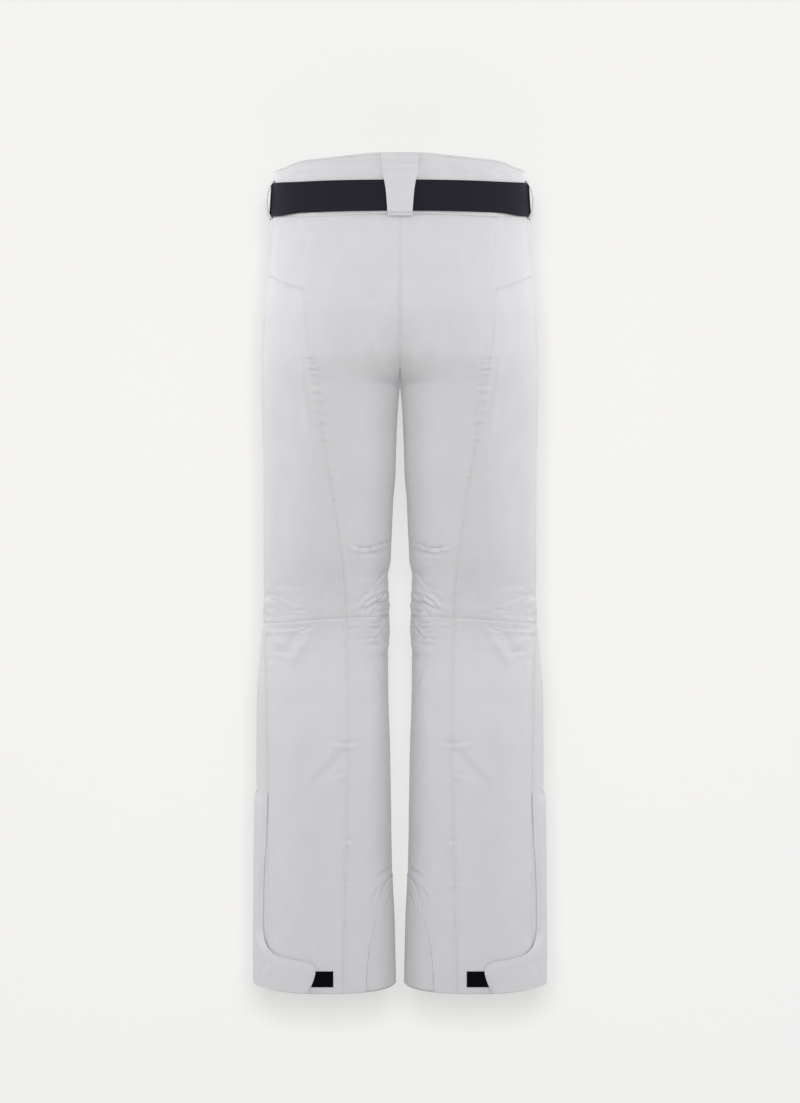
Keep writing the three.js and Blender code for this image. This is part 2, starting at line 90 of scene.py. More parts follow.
# ---- curves and surfaces
def through(points):
    """A smooth curve through (position, value) points that never overshoots them."""
    x, y = np.array(sorted(points), float).T
    slope = np.diff(y) / np.diff(x)
    product = slope[:-1] * slope[1:]
    total = np.where(product > 0, slope[:-1] + slope[1:], 1.0)
    inner = np.where(product > 0, 2 * product / total, 0.0)
    tangent = np.concatenate((slope[:1], inner, slope[-1:]))

    def curve(at):
        at = np.clip(at, x[0], x[-1])
        i = np.clip(np.searchsorted(x, at, side="right") - 1, 0, len(x) - 2)
        width = x[i + 1] - x[i]
        t = (at - x[i]) / width
        level = y[i] * (1 + 2 * t) * (1 - t) ** 2 + y[i + 1] * t * t * (3 - 2 * t)
        return level + width * (tangent[i] * t * (1 - t) ** 2 + tangent[i + 1] * t * t * (t - 1))

    return curve


outer_half_width = through([
    (0, 160), (-74, 164.5), (-147, 169), (-205, 174.7), (-282, 176.6), (-400, 174.7),
    (-551, 174.7), (-627, 179), (-680, 183.5), (-743, 184.3), (-900, 183.5), (-1065, 183.5),
])
inner_half_gap = through([
    (-292, 0.3), (-336, 3.8), (-397, 5.9), (-410, 6.4), (-430, 8.4), (-489, 11.3), (-514, 12.5),
    (-533, 16), (-549, 15), (-579, 14.1), (-594, 13.4), (-608, 14.2), (-627, 15.7), (-680, 15.3),
    (-760, 12.8), (-910, 10.6), (-975, 7.7), (-1065, 5.9),
])
centre_x = through([
    (0, 0), (-90, 0), (-147, 27), (-205, 55), (-250, 74), (-292, 87), (-400, 90),
    (-527, 95), (-680, 99), (-1065, 95),
])
back_depth = through([
    (0, 92), (-40, 94), (-84, 101), (-147, 116), (-205, 124), (-250, 122), (-292, 113),
    (-400, 97), (-500, 83), (-560, 71), (-612, 66), (-680, 72), (-750, 78), (-1065, 84),
])
front_depth = through([
    (0, 90), (-84, 95), (-157, 96.5), (-215, 98), (-292, 98.5), (-400, 94), (-500, 88),
    (-612, 83), (-700, 74), (-800, 69), (-900, 71), (-1065, 82),
])
centre_seam_angle = through([
    (0, 90), (-90, 90), (-147, 85), (-205, 76), (-250, 59), (-275, 39), (-287, 20), (CROTCH_Z, 0),
])
back_seam_x = through([
    (WAIST_SEAM_Z, 120), (-170, 120), (-261, 112), (-374, 94), (-436, 84), (-562, 69.5),
    (-689, 65.6), (-790, 66), (-892, 68.4), (-1065, 72.4),
])
side_seam_x = through([
    (-84, 162), (-282, 174), (-551, 172.5), (-600, 172), (-640, 170.6), (-743, 169), (-809, 168),
    (-1065, 168),
])
waist_top = through([
    (0, 0), (8, -0.2), (20, -3), (30, -5), (39, -6.5), (49, -7.8), (57, -11), (65, -14.6), (77, -15.6),
    (90, -17), (135, -32), (180, -40),
])
belt_top = through([(0, -35), (45, -35), (90, -32), (135, -41), (180, -50)])
waist_seam = through([(0, WAIST_SEAM_Z), (45, -80), (66, -76), (90, -77), (180, -97)])
knee_seam_z = through([
    (0, -587), (50, -584.5), (72, -585.8), (100, -588.5), (125, -591.5), (165, -593.5), (250, -596),
    (360, -587),
])
yoke_seam_z = through([(110, -177), (125, -173), (165, -154), (200, -146), (250, -140)])


def power(value, roundness=ROUNDNESS):
    return np.sign(value) * np.abs(value) ** roundness


def leg_point(angle, z):
    """A point of the left leg or half torso, in mm."""
    c, s = np.cos(np.radians(angle)), np.sin(np.radians(angle))
    roundness = np.where(c > 0, INNER_ROUNDNESS, ROUNDNESS)
    middle = centre_x(z)
    seam = np.maximum(np.cos(np.radians(centre_seam_angle(z))), 1e-6) ** INNER_ROUNDNESS
    inner = np.where(z > CROTCH_Z, middle / seam, middle - inner_half_gap(z))
    reach = np.where(c > 0, inner, outer_half_width(z) - middle)
    depth = np.where(s > 0, back_depth(z), front_depth(z))
    return np.stack([middle - reach * power(c, roundness), depth * power(s, roundness), z + 0 * c], -1)


def waist_point(angle, z):
    """A point of the waist, in mm."""
    c, s = np.cos(np.radians(angle)), np.sin(np.radians(angle))
    depth = np.where(c > 0, back_depth(z), front_depth(z))
    return np.stack([outer_half_width(z) * power(s), depth * power(c), z + 0 * c], -1)


def outward(surface, angle, z, step=0.6):
    """Unit normals of a surface, pointing out."""
    along = surface(angle + step, z) - surface(angle - step, z)
    up = surface(angle, z + 4 * step) - surface(angle, z - 4 * step)
    normal = np.cross(up, along)
    return normal / np.maximum(np.linalg.norm(normal, axis=-1, keepdims=True), 1e-9)


def angle_at_x(x, z):
    """The angle, at the back of the left half, of a point that far from the middle of the garment."""
    middle = centre_x(z)
    inside = x < middle
    reach = np.where(inside, middle - leg_point(0 * z, z)[..., 0], outer_half_width(z) - middle)
    share = np.minimum(np.abs(middle - x) / np.maximum(reach, 1e-6), 1)
    share = share ** (1 / np.where(inside, INNER_ROUNDNESS, ROUNDNESS))
    return np.degrees(np.arccos(np.where(inside, share, -share)))


def waist_angle_at_x(x, z):
    return np.degrees(np.arcsin((x / outer_half_width(z)) ** (1 / ROUNDNESS)))


def back_seam(z):
    return angle_at_x(back_seam_x(z), z)


def side_seam(z):
    return angle_at_x(side_seam_x(z), z)


def waist_line(angle, z):
    return waist_seam(np.minimum(np.abs(angle - 90), 180))


def hem_line(angle, z):
    return HEM_Z - HEEL_DROP * np.sin(np.radians(angle))


def smooth(low, high, value):
    t = np.clip((value - low) / (high - low), 0, 1)
    return t * t * (3 - 2 * t)


# ---- folds and wrinkles
LATTICE = np.random.default_rng(7).uniform(-1, 1, (32, 32, 32))


def noise(points, cell):
    """Smooth noise from -1 to 1 over points in mm. cell is its grain along x, y and z."""
    p = points / np.array(cell, float)
    whole = np.floor(p).astype(int)
    f = p - whole
    f = f * f * (3 - 2 * f)
    total = 0
    for corner in np.ndindex(2, 2, 2):
        weight = np.prod([f[..., k] if corner[k] else 1 - f[..., k] for k in range(3)], axis=0)
        i, j, k = (np.moveaxis(whole, -1, 0) + np.array(corner).reshape(3, *[1] * (p.ndim - 1))) % 32
        total = total + weight * LATTICE[i, j, k]
    return total


def line_distance(a, b, points):
    """Signed distance to a run of straight lines, and how far along it the nearest point is, 0 to 1."""
    points = np.array(points, float)
    lengths = np.linalg.norm(np.diff(points, axis=0), axis=1)
    best, signed, along = np.full(a.shape, 1e9), np.zeros(a.shape), np.zeros(a.shape)
    start = 0.0
    for (p, q), length in zip(zip(points[:-1], points[1:]), lengths):
        d = (q - p) / length
        t = np.clip((a - p[0]) * d[0] + (b - p[1]) * d[1], 0, length)
        da, db = a - p[0] - t * d[0], b - p[1] - t * d[1]
        distance = np.hypot(da, db)
        near = distance < best
        best = np.where(near, distance, best)
        signed = np.where(near, np.where(d[0] * db - d[1] * da > 0, distance, -distance), signed)
        along = np.where(near, (start + t) / lengths.sum(), along)
        start += length
    return signed, along


def fold(a, b, points, depth, width, lip=0.0):
    """The height of a crease along a line, with a raised lip on its left. A negative depth is a ridge."""
    signed, along = line_distance(a, b, points)
    taper = np.sin(np.pi * np.clip(0.06 + 0.88 * along, 0, 1)) ** 0.6
    groove = -depth * np.exp(-((signed / width) ** 2))
    raised = lip * depth * np.exp(-(((signed - 1.7 * width) / (1.3 * width)) ** 2))
    return (groove + raised) * taper


# Folds at the back: points (distance from the middle, height), depth, width and lip. All are in mm, apart
# from the lip, which is a share of the depth. A negative depth is a ridge.
PRINCESS_FOLDS = (
    # where the back panels are gathered into a short tuck: its sides, its tack and the flat seam inside it
    ([(121, -263), (119, -290), (111, -320), (103, -352), (97, -368)], 0.8, 1.5, 0.5),
    ([(101, -263), (101, -304), (96, -330), (92, -371)], 0.8, 1.5, 0.5),
    ([(102, -262.5), (120, -261)], 1.1, 1.7, 0.9),
    ([(111.6, -266), (107, -290), (102, -320), (97, -352), (94.5, -368)], -1.0, 2.6, 0.0),
    ([(84, -412), (92, -409)], 0.8, 1.8, 0.9),
    ([(79, -440), (88, -437)], 0.5, 2.0, 0.9),
    # soft folds outside it
    ([(126, -275), (121, -304), (113, -352), (106, -388)], -0.9, 4.0, 0.0),
    ([(133, -262), (129, -304), (122, -356)], 0.7, 4.0, 0.4),
    ([(111, -222), (110, -240), (111, -258)], -0.5, 2.4, 0.0),
    # faint pulls across the seat
    ([(58, -169), (40, -168), (22, -166.5)], 0.3, 3.0, 0.9),
    ([(60, -188), (42, -189), (24, -187)], 0.3, 3.4, 0.9),
    ([(38, -212), (26, -236), (16, -268)], 0.5, 6.0, 0.7),
)
TUCK_GATHERS = tuple(
    # gathers across the tuck, which get smaller and closer to the middle as it narrows
    ([(101.5 - 10 * t - 1.2 * (k % 2), -268 - 96 * t), (117.5 - 18 * t, -267.4 - 96 * t)],
     (0.75, 1.0, 0.55)[k % 3], 1.7, 1.1)
    for k, t in enumerate((0.0, 0.08, 0.16, 0.27, 0.38, 0.5, 0.64, 0.78, 0.9, 1.0))
)
KNEE_FOLDS = (
    # above the knee, at the inside of the leg
    ([(60, -496), (46, -499), (34, -497.5), (24, -493.5), (13, -490)], 2.8, 1.7, 0.8),
    ([(48, -506.5), (18, -505)], 1.0, 2.0, 0.8),
    ([(54, -568), (46, -560), (36, -552), (22, -543)], 1.6, 3.0, 0.8),
    ([(49, -583), (45, -576), (37, -571), (28, -567.5), (18, -566.5)], 3.0, 1.7, 0.6),
    ([(32, -573), (24, -570.5), (17, -571)], 1.8, 1.6, 0.7),
    ([(50, -578), (43, -569), (36, -562.5), (27, -558)], 2.0, 1.7, 0.8),
    ([(44, -583), (40, -575), (37, -572)], 1.4, 1.5, 0.9),
    ([(31, -553), (26, -563)], 1.1, 2.0, 0.8),
    ([(26, -530), (20, -538), (15, -548)], 0.9, 2.6, 0.8),
    ([(42, -550), (34, -546), (25, -536), (18, -526)], 1.0, 1.8, 0.8),
    ([(33, -560), (29, -552), (22, -549)], 1.5, 1.4, 0.9),
    ([(24, -563), (19, -556), (15, -553)], 1.5, 1.4, 0.8),
    ([(30, -578), (22, -579), (16, -577)], 1.3, 1.4, 0.9),
    # above the knee, at the outside
    ([(168, -556), (157, -557), (145, -563), (132, -568.8), (122, -568)], 0.35, 2.0, 0.8),
    ([(162, -546), (122, -547)], 0.25, 3.4, 0.8),
    ([(141, -583), (127, -582)], 0.4, 1.6, 0.9),
    ([(136, -577), (118, -576)], 0.4, 2.0, 0.9),
    # below the knee seam
    ([(162, -602), (141, -599.5), (132, -600), (121, -597), (111, -600)], 0.6, 1.7, 0.8),
    ([(128, -603), (120, -602), (114, -599)], 1.0, 1.5, 0.7),
    ([(109, -600), (118, -614), (128, -628), (136, -643)], -1.4, 5.0, 0.0),
    ([(128, -602), (135, -611), (141, -629)], 1.2, 4.0, 0.0),
    ([(159, -628), (152, -629.5), (146, -629), (139, -633)], 1.1, 2.6, 0.5),
    ([(158, -612), (150, -619), (147, -624)], -1.2, 4.5, 0.0),
    ([(41, -592), (32, -593.5), (22, -592.5)], 2.2, 1.5, 0.9),
    ([(19, -600), (24, -605), (30, -613)], 1.9, 1.6, 0.9),
    ([(40, -605), (28, -606)], 0.8, 2.0, 0.8),
    ([(34, -599), (27, -602), (20, -609), (16, -620)], 1.3, 1.5, 0.8),
    ([(44, -614), (34, -611), (25, -616)], 0.9, 1.8, 0.8),
    ([(28, -628), (21, -634), (16, -645)], 1.0, 2.0, 0.8),
    ([(40, -621), (18, -619.5)], 1.2, 3.0, 0.6),
    ([(77, -640), (71, -622)], 0.6, 2.6, 0.6),
    ([(32, -648), (25, -662), (18, -676)], 1.1, 2.8, 0.6),
)
CALF_FOLDS = (
    ([(86, -742), (68, -745), (52, -743)], 1.3, 2.2, 0.9),
    ([(66, -747), (84, -770), (106, -796)], 1.1, 6.0, 0.9),
    ([(84, -784), (66, -781)], 0.9, 2.4, 0.8),
    ([(72, -868), (60, -866)], 0.9, 2.0, 0.8),
    ([(74, -920), (62, -918)], 0.9, 2.0, 0.8),
    # along the edge of the zip's flap
    ([(166.5, -890), (166, -930), (164.5, -965), (162, -1008)], 1.4, 1.5, 0.6),
    ([(174, -1046), (170, -1034), (163, -1020)], 1.3, 2.2, 0.8),
    # gathers over the ankle patch
    ([(14, -905), (28, -912)], 1.7, 2.0, 0.8),
    ([(10, -915), (18, -922), (24, -934)], 1.8, 1.7, 0.8),
    ([(9, -932), (15, -942), (18, -954)], 1.5, 1.7, 0.8),
    ([(22, -922), (31, -934), (35, -948)], 1.1, 2.2, 0.8),
)
BACK_FOLDS = PRINCESS_FOLDS + TUCK_GATHERS + KNEE_FOLDS + CALF_FOLDS
FRONT_FOLDS = (
    ([(14, -272), (40, -250), (78, -232)], 1.8, 7.0, 0.7),
    ([(12, -284), (30, -286), (52, -300)], 1.5, 6.0, 0.7),
    ([(20, -256), (46, -226), (70, -206)], 1.2, 7.0, 0.7),
    ([(30, -546), (58, -552), (96, -548)], 1.0, 5.0, 0.8),
    ([(160, -560), (132, -566), (108, -562)], 1.0, 5.0, 0.8),
    ([(28, -640), (52, -652), (84, -650)], 1.2, 6.0, 0.8),
    ([(164, -646), (140, -654), (112, -648)], 1.2, 6.0, 0.8),
    ([(40, -960), (84, -968), (140, -958)], 1.0, 8.0, 0.8),
    ([(150, -985), (104, -992), (60, -986)], 1.0, 8.0, 0.8),
)


def wrinkles(angle, z, point):
    """How far the cloth stands out of the smooth surface, in mm, apart from its seams."""
    x = point[..., 0]
    back = smooth(-0.05, 0.25, np.sin(np.radians(angle)))
    front = smooth(-0.05, 0.3, -np.sin(np.radians(angle)))
    height = 0.8 * noise(point, (62, 62, 230)) + 0.4 * noise(point, (24, 24, 130))
    height += 0.16 * noise(point, (11, 11, 26)) + 0.05 * noise(point, (5, 5, 7))
    inside = smooth(0.1, 0.95, np.cos(np.radians(angle)))
    outside = smooth(0.35, 1.0, -np.cos(np.radians(angle)))
    knee = np.exp(-(((z + 590) / 52) ** 2))
    creased = knee * (0.25 + 1.3 * inside + 0.6 * outside)
    height += creased * (1.05 * noise(point, (34, 34, 9)) + 0.65 * noise(point, (15, 15, 5)))
    for points, depth, width, lip in BACK_FOLDS:
        height += back * fold(x, z, points, depth, width, lip)
    for points, depth, width, lip in FRONT_FOLDS:
        height += front * fold(x, z, points, depth, width, lip)
    return height


# ---- grids of cloth
def spaced(length, step, fine=(True, True)):
    """Places from 0 to 1 along a length in mm, closer together at an end that is a seam or an edge.
    step is a distance, or a distance for each share of the way along."""
    close = np.array([0, 0.45, 0.9, 1.45, 2.1, 2.9, 3.9, 5.2, 6.8, 8.8])
    first = close if fine[0] else np.array([0.0])
    last = (length - close)[::-1] if fine[1] else np.array([length])
    way = np.linspace(first[-1], last[0], 400)
    density = 1 / (step(way / length) if callable(step) else np.full(way.shape, float(step)))
    passed = np.concatenate(([0], np.cumsum((density[1:] + density[:-1]) / 2 * np.diff(way))))
    count = max(int(passed[-1]), 1)
    between = np.interp(np.linspace(0, passed[-1], count + 1)[1:-1], passed, way)
    return np.concatenate((first, between, last)) / length


def lay_out(left, right, top, bottom, across, down):
    """Angles and heights of a grid between two edges given by height and two given by angle."""
    u, v = np.meshgrid(across, down)
    z = np.full(u.shape, -500.0)
    angle = left(z) * (1 - u) + right(z) * u
    for _ in range(14):
        z = top(angle, z) * (1 - v) + bottom(angle, z) * v
        angle = left(z) * (1 - u) + right(z) * u
    return angle, z


def run(points, axis):
    """Distance along the rows (axis 1) or columns (axis 0) of a grid of points."""
    steps = np.linalg.norm(np.diff(points, axis=axis), axis=-1)
    start = np.zeros_like(np.take(steps, [0], axis=axis))
    return np.concatenate((start, np.cumsum(steps, axis=axis)), axis=axis)


def rounded(distance, radius):
    """The drop of an edge rounded with a radius."""
    inside = np.clip(radius - distance, 0, radius)
    return np.sqrt(radius**2 - inside**2) - radius


def at(value):
    return lambda *_: value


PLAIN, EDGE = "plain", "edge"
SEAM, CENTRE_SEAM, BACK_SEAM, SIDE_SEAM = "seam", "centre seam", "back seam", "side seam"
KNEE_SEAM, FLAT_SEAM = "knee seam", "flat seam"
SEAM_STRENGTHS = {
    # how deep each kind of seam is drawn in, against the height
    SEAM: lambda z: 1.0,
    CENTRE_SEAM: lambda z: 0.35 + 0.65 * smooth(-200, -270, z),
    BACK_SEAM: lambda z: 0.35 * smooth(-168, -190, z) + 0.4 * smooth(-220, -400, z),
    SIDE_SEAM: lambda z: 1.0 + 1.3 * smooth(-540, -600, z) - 1.9 * smooth(-805, -825, z),
    KNEE_SEAM: lambda z: 0.6,
    FLAT_SEAM: lambda z: 0.25,
}


def seam_groove(kind, distance, z):
    """Cloth pulls in at a seam and stands up a little beside it."""
    width = 1.5 if kind == SIDE_SEAM else SEAM_WIDTH
    groove = -SEAM_DEPTH * np.exp(-((distance / width) ** 2))
    return SEAM_STRENGTHS[kind](z) * (groove + 0.28 * np.exp(-(((distance - 4.0) / 2.6) ** 2)))


def stitched_distance(kind, distance, z):
    """The distance from a seam, for stitches and painted shade, or from nothing where the edge has no seam
    to be seen.
    """
    if kind in (PLAIN, EDGE):
        return np.full(distance.shape, 99.0)
    return np.where(SEAM_STRENGTHS[kind](z) > 0.3, distance, 99.0)


def cloth_grid(left, right, top, bottom, size, step, sides, surface=leg_point, relief=wrinkles, lift=0.0):
    """A grid of points with seams or rounded edges. sides is what its left, right, top and bottom are."""
    fine = [s != PLAIN for s in sides]
    across, down = spaced(size[0], step[0], fine[:2]), spaced(size[1], step[1], fine[2:])
    angle, z = lay_out(left, right, top, bottom, across, down)
    base = surface(angle, z)
    arc, fall = run(base, 1), run(base, 0)
    distances = (arc, arc[:, -1:] - arc, fall, fall[-1:] - fall)
    raised = relief(angle, z, base) + (lift(angle, z) if callable(lift) else lift)
    for kind, distance in zip(sides, distances):
        if kind == EDGE:
            raised = raised + rounded(distance, 0.7)
        elif kind != PLAIN:
            pucker = 0.35 * noise(base, (9, 9, 9)) * np.exp(-distance / 6)
            raised = raised + seam_groove(kind, distance, z) + pucker
    upright = np.minimum(*[stitched_distance(k, d, z) for k, d in zip(sides[:2], distances[:2])])
    far = np.full(base.shape[:2], 99.0)
    level = np.minimum(*[d if k != PLAIN else far for k, d in zip(sides[2:], distances[2:])])
    return {
        "points": base + outward(surface, angle, z) * raised[..., None],
        "cloth": np.stack([arc, z], -1),
        "stitch_v": np.stack([upright, z], -1),
        "stitch_h": np.stack([level, arc], -1),
    }


def build(name, cloth, mirror=1, ring=False):
    """A mesh object from a grid. Its UV maps, in cm, are the cloth and the distances from its seams."""
    points = cloth["points"] * (mirror, 1, 1)
    rows, columns = points.shape[:2]
    used = columns - 1 if ring else columns
    index = np.arange(rows * used).reshape(rows, used)
    index = np.concatenate((index, index[:, :1]), 1) if ring else index
    order = (index[:-1, :-1], index[:-1, 1:], index[1:, 1:], index[1:, :-1])
    corners = np.stack(order if mirror > 0 else order[::-1], -1).reshape(-1, 4)
    mesh = bpy.data.meshes.new(name)
    mesh.vertices.add(rows * used)
    mesh.vertices.foreach_set("co", (points[:, :used] * MM).astype(np.float32).ravel())
    mesh.loops.add(corners.size)
    mesh.loops.foreach_set("vertex_index", corners.astype(np.int32).ravel())
    mesh.polygons.add(len(corners))
    mesh.polygons.foreach_set("loop_start", np.arange(0, corners.size, 4, dtype=np.int32))
    mesh.polygons.foreach_set("loop_total", np.full(len(corners), 4, np.int32))
    mesh.polygons.foreach_set("use_smooth", np.ones(len(corners), bool))
    grid = np.arange(rows * columns).reshape(rows, columns)
    order = (grid[:-1, :-1], grid[:-1, 1:], grid[1:, 1:], grid[1:, :-1])
    places = np.stack(order if mirror > 0 else order[::-1], -1).reshape(-1)
    for key in ("cloth", "stitch_v", "stitch_h"):
        if key in cloth:
            layer = mesh.uv_layers.new(name=key)
            layer.data.foreach_set("uv", (cloth[key].reshape(-1, 2)[places] / 10).astype(np.float32).ravel())
    mesh.update(calc_edges=True)
    mesh.validate()
    made = bpy.data.objects.new(name, mesh)
    bpy.context.scene.collection.objects.link(made)
    return made


def thicken(made, thickness, materials):
    """Gives a sheet its thickness, inwards, with its lining on the inside."""
    for material in materials:
        made.data.materials.append(material)
    solid = made.modifiers.new("thickness", "SOLIDIFY")
    solid.thickness = thickness * MM
    solid.offset = -1
    solid.material_offset = len(materials) - 1
    corners = made.modifiers.new("crisp_edges", "EDGE_SPLIT")
    corners.split_angle = math.radians(50)
    return made


# ---- materials
class Shader:
    """A node material with a Principled shader, built a node at a time."""

    def __init__(self, name, **settings):
        self.material = bpy.data.materials.new(name)
        self.material.use_nodes = True
        self.tree = self.material.node_tree
        self.out = self.tree.nodes["Principled BSDF"]
        for key, value in settings.items():
            self.out.inputs[key.replace("_", " ").title()].default_value = value

    def add(self, kind, inputs=(), **settings):
        made = self.tree.nodes.new("ShaderNode" + kind)
        for key, value in settings.items():
            setattr(made, key, value)
        for key, value in dict(inputs).items():
            if isinstance(value, bpy.types.NodeSocket):
                self.tree.links.new(value, made.inputs[key])
            else:
                made.inputs[key].default_value = value
        return made

    def math(self, operation, a, b=0.0, c=0.0):
        return self.add("Math", {0: a, 1: b, 2: c}, operation=operation).outputs[0]

    def uv(self, layer):
        made = self.add("UVMap", uv_map=layer).outputs[0]
        return made, self.add("SeparateXYZ", {0: made}).outputs

    def noise(self, vector, scale, detail=2.0, roughness=0.5):
        inputs = {"Vector": vector, "Scale": scale, "Detail": detail, "Roughness": roughness}
        return self.add("TexNoise", inputs).outputs["Fac"]

    def stretch(self, vector, scale):
        return self.add("Mapping", {"Vector": vector, "Scale": scale}).outputs[0]

    def ramp(self, value, stops):
        made = self.add("ValToRGB", {"Fac": value})
        elements = made.color_ramp.elements
        while len(elements) < len(stops):
            elements.new(0.5)
        for element, (position, colour) in zip(elements, stops):
            element.position = position
            element.color = (*colour, 1) if hasattr(colour, "__len__") else (colour, colour, colour, 1)
        return made.outputs["Color"]

    def link(self, socket, target):
        self.tree.links.new(socket, self.out.inputs[target])

    def bump(self, height, distance, strength=1.0, normal=None):
        inputs = {"Height": height, "Distance": distance * MM, "Strength": strength}
        if normal is not None:
            inputs["Normal"] = normal
        return self.add("Bump", inputs).outputs[0]


def grey(value, tint=(1.0, 1.0, 1.0)):
    return tuple(value * t for t in tint)


SHELL_TINT = (1.0, 1.0, 1.022)


def dashes(shader, layer, row, pitch=0.32, width=0.05):
    """A row of stitches, row cm from a seam: 1 on the thread, 0 off it."""
    _, (across, along, _) = shader.uv(layer)
    line = shader.math("COMPARE", across, row, width)
    beat = shader.math("FRACT", shader.math("DIVIDE", along, pitch))
    thread = shader.math("LESS_THAN", beat, 0.68)
    return shader.math("MULTIPLY", line, thread)


def shell_material(name, shade, seam_painted_shade=0.86, seam_reach=0.09):
    """Matt, closely woven shell cloth, stitched beside its seams, with painted shade darkening it along them
    for seam_reach cm.
    """
    shader = Shader(name, roughness=0.62, sheen_weight=0.12, sheen_roughness=0.45)
    shader.out.inputs["Specular IOR Level"].default_value = 0.3
    cloth, (u, v, _) = shader.uv("cloth")
    mottle = shader.noise(shader.stretch(cloth, (0.5, 0.28, 1)), 0.8, 4, 0.55)
    pale, dark = grey(shade * 1.02, SHELL_TINT), grey(shade * 0.972, SHELL_TINT)
    tone = shader.ramp(mottle, ((0.25, dark), (0.75, pale)))
    warp = shader.math("SINE", shader.math("MULTIPLY", u, 2 * math.pi / 0.055))
    weft = shader.math("SINE", shader.math("MULTIPLY", v, 2 * math.pi / 0.055))
    weave = shader.math("MULTIPLY", warp, weft)
    crinkle = shader.noise(cloth, 2.2, 5, 0.6)
    normal = shader.bump(weave, 0.02, 0.35)
    normal = shader.bump(crinkle, 0.5, 0.22, normal)
    upright = dashes(shader, "stitch_v", 0.3)
    level = dashes(shader, "stitch_h", 0.3)
    thread = shader.math("MAXIMUM", upright, level)
    normal = shader.bump(thread, 0.35, 0.6, normal)
    _, (down_v, _, _) = shader.uv("stitch_v")
    _, (down_h, _, _) = shader.uv("stitch_h")
    nearest = shader.math("MINIMUM", down_v, down_h)
    # painted shade: the cloth's colour is multiplied darker near its seams, standing in for the shade in the
    # seam grooves
    seam = shader.ramp(nearest, ((0.0, seam_painted_shade), (seam_reach, 1.0)))
    tone = shader.add("Mix", {6: tone, 7: seam, 0: 1.0}, data_type="RGBA", blend_type="MULTIPLY").outputs[2]
    shader.link(tone, "Base Color")
    shader.link(shader.math("MULTIPLY_ADD", crinkle, 0.16, 0.54), "Roughness")
    shader.link(normal, "Normal")
    return shader.material


def lining_material():
    shader = Shader("lining", roughness=0.7, sheen_weight=0.2)
    cloth, (_, v, _) = shader.uv("cloth")
    fine = shader.noise(cloth, 30, 3)
    tone = shader.ramp(fine, ((0.3, grey(0.5, SHELL_TINT)), (0.7, grey(0.56, SHELL_TINT))))
    rows = shader.math("SINE", shader.math("MULTIPLY", v, 2 * math.pi / 0.12))
    shader.link(tone, "Base Color")
    shader.link(shader.bump(rows, 0.05, 0.4, shader.bump(fine, 0.1, 0.4)), "Normal")
    return shader.material


def belt_material():
    """Dark ribbed elastic, with pale flecks in the yarn."""
    shader = Shader("belt_elastic", roughness=0.85, sheen_weight=0.03, sheen_roughness=0.5)
    shader.out.inputs["Specular IOR Level"].default_value = 0.12
    cloth, (u, v, _) = shader.uv("cloth")
    flecks = shader.noise(shader.stretch(cloth, (9, 34, 1)), 1.0, 3, 0.7)
    shadow, yarn_colour, fleck = (0.009, 0.0085, 0.014), (0.014, 0.0133, 0.021), (0.034, 0.033, 0.045)
    tone = shader.ramp(flecks, ((0.3, shadow), (0.55, yarn_colour), (0.8, fleck)))
    ribs = shader.math("ABSOLUTE", shader.math("SINE", shader.math("MULTIPLY", v, math.pi / 0.16)))
    yarn = shader.math("SINE", shader.math("MULTIPLY", u, 2 * math.pi / 0.09))
    normal = shader.bump(ribs, 0.35, 0.7)
    normal = shader.bump(yarn, 0.06, 0.5, normal)
    normal = shader.bump(flecks, 0.15, 0.5, normal)
    shader.link(tone, "Base Color")
    shader.link(normal, "Normal")
    return shader.material


def hook_material():
    """Black hook tape: rows of tiny hooks inside a plain woven edge."""
    shader = Shader("hook_tape", roughness=0.75)
    shader.out.inputs["Specular IOR Level"].default_value = 0.04
    cloth, _ = shader.uv("cloth")
    hooks = shader.add("TexVoronoi", {"Vector": cloth, "Scale": 8.0}, feature="F1").outputs["Distance"]
    tone = shader.ramp(hooks, ((0.0, (0.004, 0.0038, 0.007)), (0.6, (0.0015, 0.0015, 0.003))))
    shader.link(tone, "Base Color")
    shader.link(shader.bump(hooks, 0.6, 0.8), "Normal")
    return shader.material


def tape_material():
    shader = Shader("zip_tape", roughness=0.7)
    place = shader.add("TexCoord").outputs["Object"]
    fine = shader.noise(place, 1800, 2)
    tone = shader.ramp(fine, ((0.3, grey(0.42, SHELL_TINT)), (0.7, grey(0.5, SHELL_TINT))))
    shader.link(tone, "Base Color")
    shader.link(shader.bump(fine, 0.1, 0.5), "Normal")
    return shader.material


def metal_material(name, tone, roughness, scratch):
    """Satin metal with fine brushing along its length."""
    shader = Shader(name, metallic=1.0, roughness=roughness)
    place = shader.add("TexCoord").outputs["Object"]
    brushed = shader.noise(shader.stretch(place, scratch), 1.0, 4, 0.7)
    colour = shader.ramp(brushed, ((0.3, grey(tone * 0.9, SHELL_TINT)), (0.7, grey(tone, SHELL_TINT))))
    shader.link(colour, "Base Color")
    shader.link(shader.math("MULTIPLY_ADD", brushed, 0.18, roughness - 0.08), "Roughness")
    shader.link(shader.bump(brushed, 0.02, 0.5), "Normal")
    return shader.material


# shell and trim get painted shade along their seams; the ankle patch gets deeper, wider painted shade along
# its edges
SHELL = shell_material("shell_cloth", 0.56)
TRIM = shell_material("shell_trim", 0.565)
PATCH = shell_material("shell_patch", 0.56, 0.6, 0.16)
LINING = lining_material()
ELASTIC = belt_material()
HOOKS = hook_material()
TAPE = tape_material()
METAL = metal_material("satin_metal", 0.62, 0.3, (300, 3000, 300))
TEETH = metal_material("zip_teeth", 0.5, 0.42, (900, 900, 900))


def front_centre(z):
    return 360 - centre_seam_angle(z)


